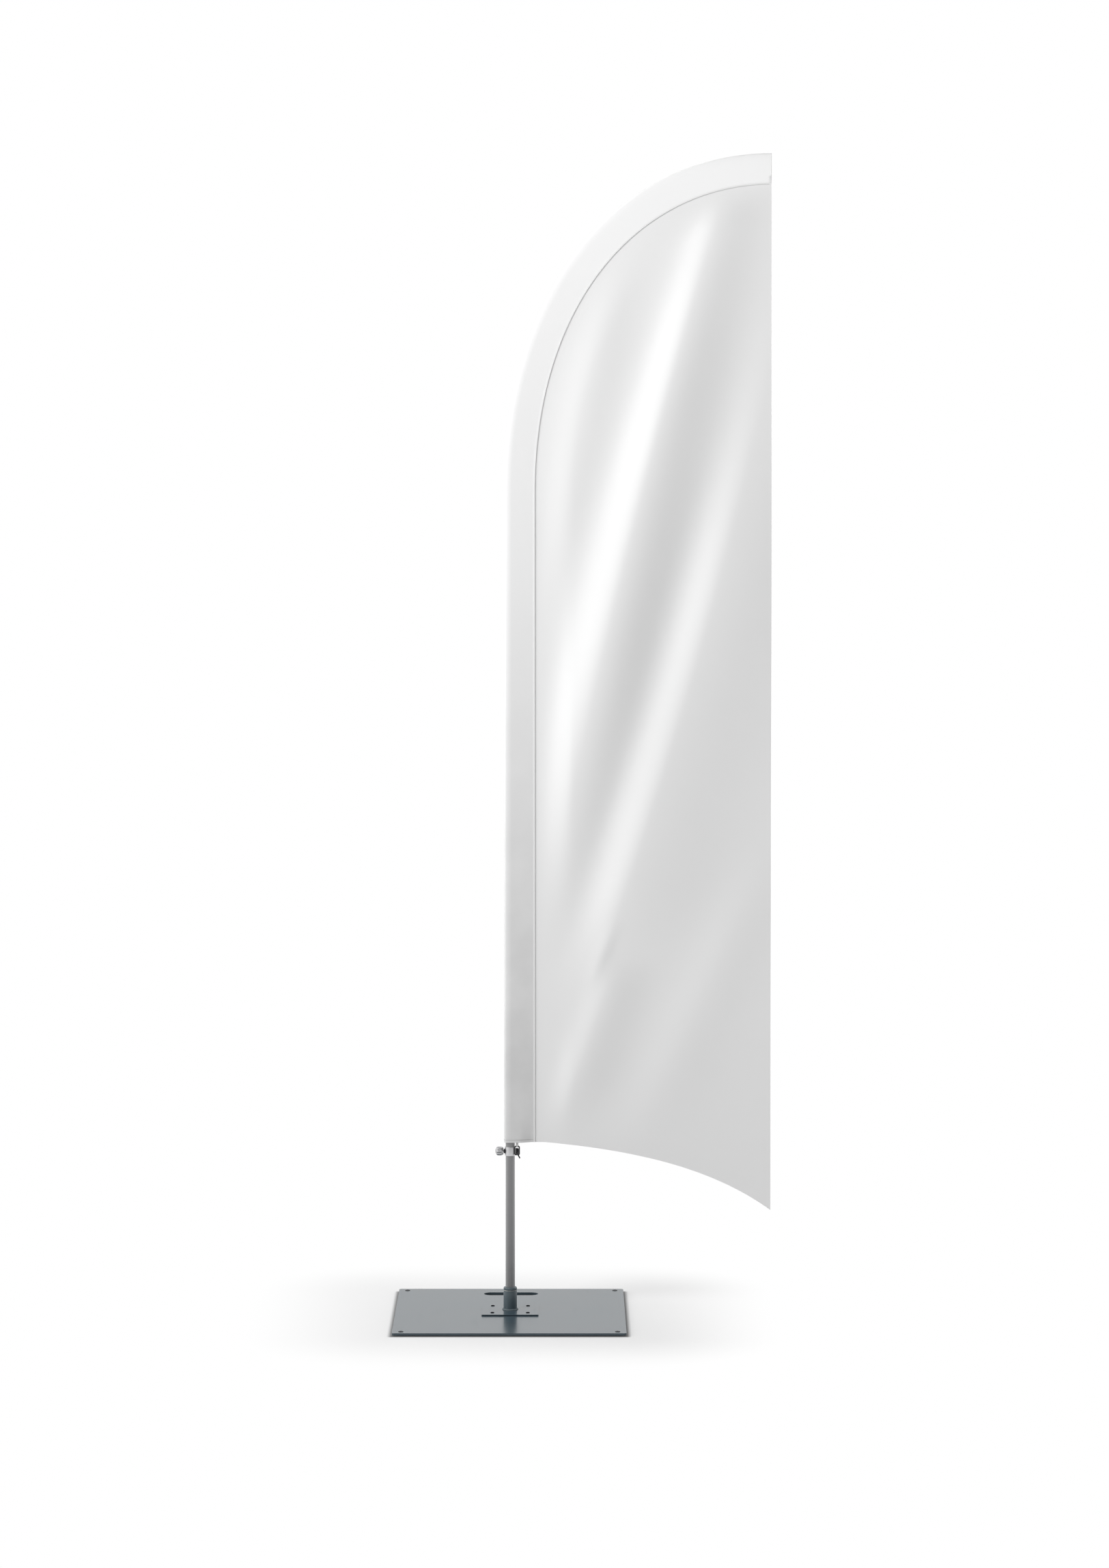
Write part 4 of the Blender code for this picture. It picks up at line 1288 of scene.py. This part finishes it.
    def _sewn(
        self, name: str, centre: np.ndarray, ahead: np.ndarray, out: np.ndarray
    ) -> bpy.types.Object:
        """A row of stitches: one slim ellipsoid for each, all in one mesh.

        Args:
            name: The piece's name.
            centre: The middle of each stitch.
            ahead: The direction of each.
            out: The direction away from the cloth at each.

        Returns:
            The object.
        """
        rings = 5
        sides = 6
        half_width = self.stitch_radius
        run = np.linspace(-1, 1, rings)
        girth = np.sqrt(np.clip(1 - run ** 2 * 0.94, 0, 1))
        angle = angles_round(sides)
        side = np.cross(ahead, out)
        offset = (
            run[None, :, None, None] * self.stitch_half_length * ahead[:, None, None]
            + (girth[:, None] * np.cos(angle))[None, :, :, None] * half_width * side[:, None, None]
            + (girth[:, None] * np.sin(angle))[None, :, :, None] * half_width * out[:, None, None]
        )
        points = centre[:, None, None] + offset
        count = len(centre)
        quads = skin_grid(points[0], False, True)
        caps = np.stack([np.arange(sides)[::-1], (rings - 1) * sides + np.arange(sides)])
        shift = (np.arange(count) * rings * sides)[:, None, None]
        faces = (quads[None] + shift).reshape(-1, 4).tolist()
        faces += (caps[None] + shift).reshape(-1, sides).tolist()
        row = stand_up(name, points.reshape(-1, 3), faces, self.finishes.thread, FULL_TURN_DEG)
        return give(face_out(row), "mast", "webbing")

    def _tape(self, name: str, side: int) -> bpy.types.Object:
        """The narrow tape that binds the pocket's raw edge on one face.

        Args:
            name: The piece's name.
            side: -1 for the front and 1 for the back.

        Returns:
            The object.
        """
        line, inward = self._outer_edge(60, 160)
        inset = self.pocket_width - self.tape_width * np.linspace(1, 0, 5)
        crown = np.sin(np.linspace(0.25, math.pi - 0.25, 5))
        place = line[:, None] + inward[:, None] * inset[None, :, None]
        depth = np.broadcast_to(side * (self.tape_depth + 0.0002 * crown), place.shape[:2])
        points = np.stack([place[..., 0], depth, place[..., 1]], -1)
        tape = make_slab(name, points, 0.0003, self.finishes.panel_cloth)
        return give(tape, "mast", "panel_cloth")

    def _stitches(self, name: str, side: int) -> bpy.types.Object:
        """The seam's stitches on one face, spaced evenly along the seam.

        Args:
            name: The piece's name.
            side: -1 for the front and 1 for the back.

        Returns:
            The object.
        """
        line, inward = self._outer_edge(400, 600)
        seam = line + inward * (self.pocket_width - self.stitch_radius)
        along = distance_along(seam)
        stops = np.arange(self.stitch_pitch, along[-1] - self.stitch_pitch, self.stitch_pitch)
        x = np.interp(stops, along, seam[:, 0])
        z = np.interp(stops, along, seam[:, 1])
        ahead = unit_rows(np.stack([np.gradient(x), np.zeros(len(x)), np.gradient(z)], 1))
        out = np.tile((0.0, float(side), 0.0), (len(x), 1))
        depth = side * (self.tape_depth + self.stitch_radius)
        centre = np.stack([x, np.full(len(x), depth), z], 1)
        return self._sewn(name, centre, ahead, out)

    def _mouth_stitches(self) -> bpy.types.Object:
        """The stitches round the pocket's mouth, just above its hem."""
        level = self.hem_z + self.mouth_stitch_rise
        open_share = 1 - smooth_step((np.array([level]) - self.mouth_to) / self.mouth_fade)
        section = self._section(np.array([self.pocket_half_thick]), open_share)[0]
        along = distance_along(section)
        stops = np.arange(0.004, along[-1] - 0.004, self.stitch_pitch)
        inset = np.interp(stops, along, section[:, 0])
        depth = np.interp(stops, along, section[:, 1])
        ahead = unit_rows(np.stack([np.gradient(inset), np.gradient(depth), np.zeros(len(inset))], 1))
        out = np.cross(ahead, (0.0, 0.0, 1.0))
        outward = np.sign((out[:, :2] * np.stack([inset - 0.03, depth], 1)).sum(1))
        out = out * outward[:, None]
        centre = np.stack([self.edge_x + inset, depth, np.full(len(inset), level)], 1) + out * 0.0003
        return self._sewn("mouth_stitches", centre, ahead, out)


# ---------------------------------------------------------------- tension collar

@dataclass
class Collar:
    """The clamping ring with its hook, the ring that hangs on it, and the elastic strap."""

    finishes: Finishes
    bore_radius: float = 0.0105
    boss_radius: float = 0.0048
    boss_from: float = -0.0111
    boss_to: float = -0.0142
    stud_hole: float = 0.0029
    hook_radius: float = 0.0015
    hook_foot_z: float = 0.3560
    wire_radius: float = 0.0015
    ring_corner: float = 0.0030
    strap_back_y: float = -0.0050
    strap_back_z: float = 0.405
    strap_thick: float = 0.0007
    knob_z: float = CLAMP_SCREW_Z

    def build(self) -> None:
        """Build every piece of the collar."""
        low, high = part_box("tension_collar")
        outer = high.x
        bore = self.bore_radius
        corners = [(outer, low.z), (outer, high.z), (bore, high.z), (bore, low.z)]
        profile = soften(corners, 0.0008, closed=True, steps=5)
        give(
            turn("collar_ring", profile, self.finishes.collar_metal, closed=True),
            "collar", "collar_metal", "tension_collar",
        )
        boss = soften([
            (self.boss_radius + 0.0012, self.boss_from),
            (self.boss_radius, self.boss_from - 0.0012),
            (self.boss_radius, self.boss_to),
            (self.stud_hole, self.boss_to),
            (self.stud_hole, self.boss_from),
        ], 0.0004, closed=True)
        # The boss is dark steel so that it stands in for the shade on the neck between the collar and the
        # knob: painted shade.
        steel = self.finishes.black_steel
        give(
            turn("collar_boss_painted_shade", boss, steel, (0.0, self.knob_z), Axis.X, 64, closed=True),
            "collar", "black_steel",
        )
        self._hook()
        self._ring()
        self._strap()
        self._anchor()

    def _hook(self) -> None:
        """The hook stands on a domed foot, passes through the ring, and turns down and out."""
        path = through([
            (0.0150, -0.0030, 0.3552),
            (0.0154, -0.0062, 0.3548),
            (0.0160, -0.0090, 0.3538),
            (0.0170, -0.0122, 0.3512),
            (0.0190, -0.0131, 0.3466),
            (0.0214, -0.0131, 0.3420),
        ], 60)
        share = np.linspace(0, 1, len(path))
        tip = np.sqrt(np.clip(1 - np.clip((share - 0.93) / 0.07, 0, 1) ** 2, 0.02, 1))
        steel = self.finishes.black_steel
        hook = carry("hook_bar", path, self.hook_radius * tip, steel, (0.3, 0.1, 1.0))
        give(hook, "collar", "black_steel", "strap_hook")
        foot = soften([
            (0.0010, 0.0119),
            (0.0066, 0.0119),
            (0.0066, 0.0160),
            (0.0056, 0.0180),
            (0.0030, 0.0190),
            (0.0002, 0.0190),
        ], 0.0007, closed=False)
        give(
            turn("hook_foot", foot, steel, (0.0, self.hook_foot_z), Axis.X, 64),
            "collar", "black_steel",
        )

    def _ring(self) -> None:
        """The ring is a round bar bent to a rounded rectangle that fills its CAD box."""
        low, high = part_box("strap_ring")
        inset = self.wire_radius
        half_x = (high.x - low.x) / 2 - inset
        half_z = (high.z - low.z) / 2 - inset
        centre_x = (high.x + low.x) / 2
        centre_z = (high.z + low.z) / 2
        corners = [(half_x, half_z), (-half_x, half_z), (-half_x, -half_z), (half_x, -half_z)]
        outline = soften(corners, self.ring_corner, closed=True, steps=12)
        middle_y = np.full(len(outline), (low.y + high.y) / 2)
        path = np.stack([outline[:, 0] + centre_x, middle_y, outline[:, 1] + centre_z], 1)
        plastic = self.finishes.black_plastic
        ring = carry("oval_ring", path, self.wire_radius, plastic, (0, 1, 0), 20, closed=True)
        give(ring, "collar", "black_plastic", "strap_ring")

    def _strap(self) -> None:
        """The strap comes down, passes round the ring's top bar and is sewn back on itself.

        Its side view is a run that leans back over the pole in the pocket, a three-quarter circle about
        the bar, and a short run back up. The lean is a smooth step of the height.
        """
        low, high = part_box("tension_strap")
        ring_low, ring_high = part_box("strap_ring")
        bar_z = ring_high.z - self.wire_radius
        middle_y = (ring_low.y + ring_high.y) / 2
        loop = self.wire_radius + 0.0004 + self.strap_thick / 2
        ply = self.strap_thick * 0.52
        angle = np.linspace(math.radians(28), math.radians(-208), 40)
        neck = bar_z + loop + 0.0030
        down = np.stack([np.full(40, ply), np.linspace(high.z, neck, 40)], 1)
        round_bar = np.stack([loop * np.cos(angle), bar_z + loop * np.sin(angle)], 1)
        back_up = np.stack([np.full(16, -ply), np.linspace(neck, neck + 0.016, 16)], 1)
        side_view = np.vstack([down, round_bar, back_up])
        along = distance_along(side_view)
        rise = smooth_step((side_view[:, 1] - neck) / (self.strap_back_z - neck))
        lean = rise * (self.strap_back_y - middle_y)
        across = np.linspace(low.x, high.x, 7)
        points = np.stack([
            np.repeat(across[None, :], len(side_view), axis=0),
            np.repeat(middle_y + side_view[:, :1] + lean[:, None], len(across), axis=1),
            np.repeat(side_view[:, 1:], len(across), axis=1),
        ], -1)
        strap = make_slab("elastic_strap", points, self.strap_thick, self.finishes.webbing)
        map_grid(strap, np.tile(np.linspace(0, 1, 7), len(side_view)), np.repeat(along, 7))
        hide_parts("tension_strap")
        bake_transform(strap)
        log.info("elastic_strap bends between mast and collar")

    def _anchor(self) -> None:
        """The tab in the pocket that the strap is sewn to: a flat tape with rounded ends."""
        low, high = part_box("strap_anchor")
        rows, columns = 24, 9
        share = np.linspace(-1, 1, rows)[:, None]
        width = (1 - np.abs(share) ** 14 * 0.25) * (high.x - low.x) / 2
        across = np.linspace(-1, 1, columns)[None, :] * width + (low.x + high.x) / 2
        up = np.broadcast_to((low.z + high.z) / 2 + share * (high.z - low.z) / 2, across.shape)
        depth = np.full(across.shape, self.strap_back_y)
        thick = (high.y - low.y) * 0.95
        tab = make_slab("anchor_tab", np.stack([across, depth, up], -1), thick, self.finishes.webbing)
        along = np.linspace(0, high.z - low.z, rows)
        map_grid(tab, np.tile(np.linspace(0, 1, columns), rows), np.repeat(along, columns))
        give(tab, "mast", "webbing", "strap_anchor")


# ---------------------------------------------------------------- thumb screw

@dataclass
class ThumbScrew:
    """The fluted knob with its cap, and the stud that it turns on."""

    finishes: Finishes
    centre_z: float = CLAMP_SCREW_Z
    flutes: int = 8
    flute_depth: float = 0.13

    def build(self) -> None:
        """Turn the knob and its cap, and dress the stud."""
        low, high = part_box("clamp_knob")
        full = (high.y - low.y) / 2
        length = high.x - low.x
        stations = np.array([0, 0, 0.08, 0.20, 0.36, 0.52, 0.68, 0.82, 0.93, 1.0, 1.0])
        radii = np.array([
            0.0029, 0.0074, 0.0084, 0.0092, 0.0096, 0.0096, 0.0096, 0.0093, 0.0083, 0.0066, 0.0030
        ])
        shares = np.array([0, 0, 0, 0.35, 0.9, 1.0, 1.0, 0.95, 0.6, 0.1, 0])
        fine = np.linspace(0, len(stations) - 1, 72)
        index = np.arange(len(stations))
        place = high.x - length * np.interp(fine, index, stations)
        radius = np.interp(fine, index, radii) * full / radii.max()
        share = np.interp(fine, index, shares)
        kernel = np.array([1.0, 2.0, 1.0]) / 4
        for _ in range(3):
            radius[1:-1] = np.convolve(radius, kernel, "valid")
            place[1:-1] = np.convolve(place, kernel, "valid")
        radius = np.minimum(radius, full)
        sides = 192
        angle = angles_round(sides)
        dip = (0.5 - 0.5 * np.cos(self.flutes * angle)) ** 1.6
        wave = 1 - self.flute_depth * share[:, None] * dip[None, :]
        knob = turn(
            "fluted_knob", np.stack([radius, place], 1), self.finishes.knob_metal,
            (0.0, self.centre_z), Axis.X, sides, wave=wave,
        )
        give(knob, "knob", "knob_metal", "clamp_knob")
        cap_low, cap_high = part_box("knob_cap")
        cap_radius = (cap_high.y - cap_low.y) / 2
        profile = soften([
            (cap_radius * 0.4, cap_high.x),
            (cap_radius, cap_high.x),
            (cap_radius, cap_low.x + 0.0003),
            (cap_radius * 0.72, cap_low.x),
            (cap_radius * 0.1, cap_low.x),
        ], 0.0003, closed=False)
        give(
            turn("knob_end_cap", profile, self.finishes.black_plastic, (0.0, self.centre_z), Axis.X, 64),
            "knob", "black_plastic", "knob_cap",
        )
        dress(self.finishes.turned_steel, "clamp_stud")
        dress(self.finishes.nylon, "pressure_pad")


# ---------------------------------------------------------------- studio

@dataclass
class Studio:
    """A pale floor with painted shade round the base, a white surround that is dimmer behind the camera,
    two soft lights and the camera.
    """

    camera_place: Triple = (0.0965, -10.0, 1.96)
    camera_tilt: float = math.radians(1.5)
    lens: float = 105.8
    shift_down: float = -0.1587
    key_place: Triple = (-1.5, -1.9, 3.4)
    key_aim: Triple = (0.20, 0.0, 1.9)
    key_size: float = 1.2
    key_power: float = 39.5
    floor_half: float = 30.0
    side_place: Triple = (-3.4, -1.5, 1.9)
    side_aim: Triple = (0.20, 0.0, 1.5)
    side_size: float = 1.6
    side_power: float = 42.0
    front_level: float = 0.16
    left_gain: float = 0.16
    floor_glow: float = 0.06
    # The floor's painted shade round the plate fades out over the shade reach; a painted contact shadow
    # lies within the contact reach of the plate's edge.
    plate_half: float = 0.25
    shade_reach: float = 0.34
    painted_shadow_reach: float = 0.012

    def build(self) -> None:
        """Build all of it."""
        self._camera()
        self._surround()
        self._light("key", self.key_place, self.key_aim, self.key_size, self.key_power)
        self._light("side", self.side_place, self.side_aim, self.side_size, self.side_power)
        self._floor()
        bpy.context.scene.view_settings.view_transform = "Standard"

    def _camera(self) -> None:
        """The camera looks almost level along +Y."""
        data = bpy.data.cameras.new("camera")
        data.lens = self.lens
        data.shift_y = self.shift_down
        data.clip_end = 200.0
        camera = bpy.data.objects.new("camera", data)
        camera.location = self.camera_place
        camera.rotation_euler = (math.pi / 2 - self.camera_tilt, 0.0, 0.0)
        bpy.context.collection.objects.link(camera)
        bpy.context.scene.camera = camera

    def _surround(self) -> None:
        """The world is white behind the flag, dim in front of it, and a little brighter front-left.

        Its strength is a blend by the direction's Y, from the front level to 1, plus a gain by how far
        the direction points to -X. The camera itself sees white all round.
        """
        world = bpy.data.worlds.new("surround")
        world.use_nodes = True
        tree = world.node_tree
        background = tree.nodes["Background"]
        place = tree.nodes.new("ShaderNodeTexCoord")
        split = tree.nodes.new("ShaderNodeSeparateXYZ")
        tree.links.new(place.outputs["Generated"], split.inputs[0])
        ahead = Wire(tree, split.outputs[1])
        left = Wire(tree, split.outputs[0]) * -1.0
        behind = ahead.above(-0.35, 0.25)
        seen = Wire(tree, tree.nodes.new("ShaderNodeLightPath").outputs["Is Camera Ray"])
        lit = behind + (1.0 - behind) * (left.above(-0.2, 0.9) * self.left_gain + self.front_level)
        strength = lit + seen * (1.0 - lit)
        tree.links.new(strength.socket, background.inputs["Strength"])
        background.inputs["Color"].default_value = (1.0, 1.0, 1.0, 1.0)
        bpy.context.scene.world = world

    def _light(self, name: str, place: Triple, aim: Triple, size: float, power: float) -> None:
        """A square area light.

        Args:
            name: Its name.
            place: Where it stands.
            aim: The point that it faces.
            size: The length of its side.
            power: Its power in watts.
        """
        data = bpy.data.lights.new(name, "AREA")
        data.energy = power
        data.size = size
        light = bpy.data.objects.new(name, data)
        light.location = place
        toward = np.subtract(aim, place)
        flat = math.hypot(toward[0], toward[1])
        tilt = math.atan2(flat, -toward[2])
        heading = math.atan2(toward[1], toward[0]) - math.pi / 2
        light.rotation_euler = (tilt, 0.0, heading)
        bpy.context.collection.objects.link(light)

    def _floor(self) -> None:
        """A pale floor that glows, so that it meets the surround without a line.

        Near the plate the glow gives way to lit paint, a painted shade round the base, and right at the
        plate's edge the paint turns dark grey: a painted contact shadow.
        """
        bench = Bench("pale_floor_painted_shade")
        grain = bench.noise(3.0, 2)
        across, deep, _ = bench.axes()
        beside = (across.size() - self.plate_half).least(0.0)
        before = (deep.size() - self.plate_half).least(0.0)
        away = (beside * beside + before * before).root()
        # painted shade: the floor is darker close to the plate and turns to pure white glow by the shade
        # reach
        far = away.above(0.0, self.shade_reach)
        paint = bench.blend(grain, (0.88, 0.88, 0.88), (0.90, 0.90, 0.90))
        # painted contact shadow: dark grey paint right beside the plate's edge
        paint = bench.blend(away.above(0.0, self.painted_shadow_reach), (0.20, 0.20, 0.20), paint)
        glow = (self.floor_glow,) * 3
        bench.finish(
            Base_Color=bench.blend(far, paint, (0.0, 0.0, 0.0)),
            Roughness=0.9,
            Specular_IOR_Level=0.0,
            Emission_Color=bench.blend(far, glow, (1.0, 1.0, 1.0)),
            Emission_Strength=1.0,
        )
        half = self.floor_half
        spread = np.linspace(-half, half, 3)
        x, y = np.meshgrid(spread, spread, indexing="ij")
        floor = make_piece("floor", np.stack([x, y, np.zeros_like(x)], -1), bench.material)


def main() -> None:
    """Build every sub-assembly in turn."""
    logging.basicConfig(level=logging.INFO, format="%(name)s: %(message)s")
    finishes = Finishes()
    Studio().build()
    for assembly in (Base, Rotor, Mast, Flag, Collar, ThumbScrew):
        assembly(finishes).build()


if __name__ == "__main__":
    main()
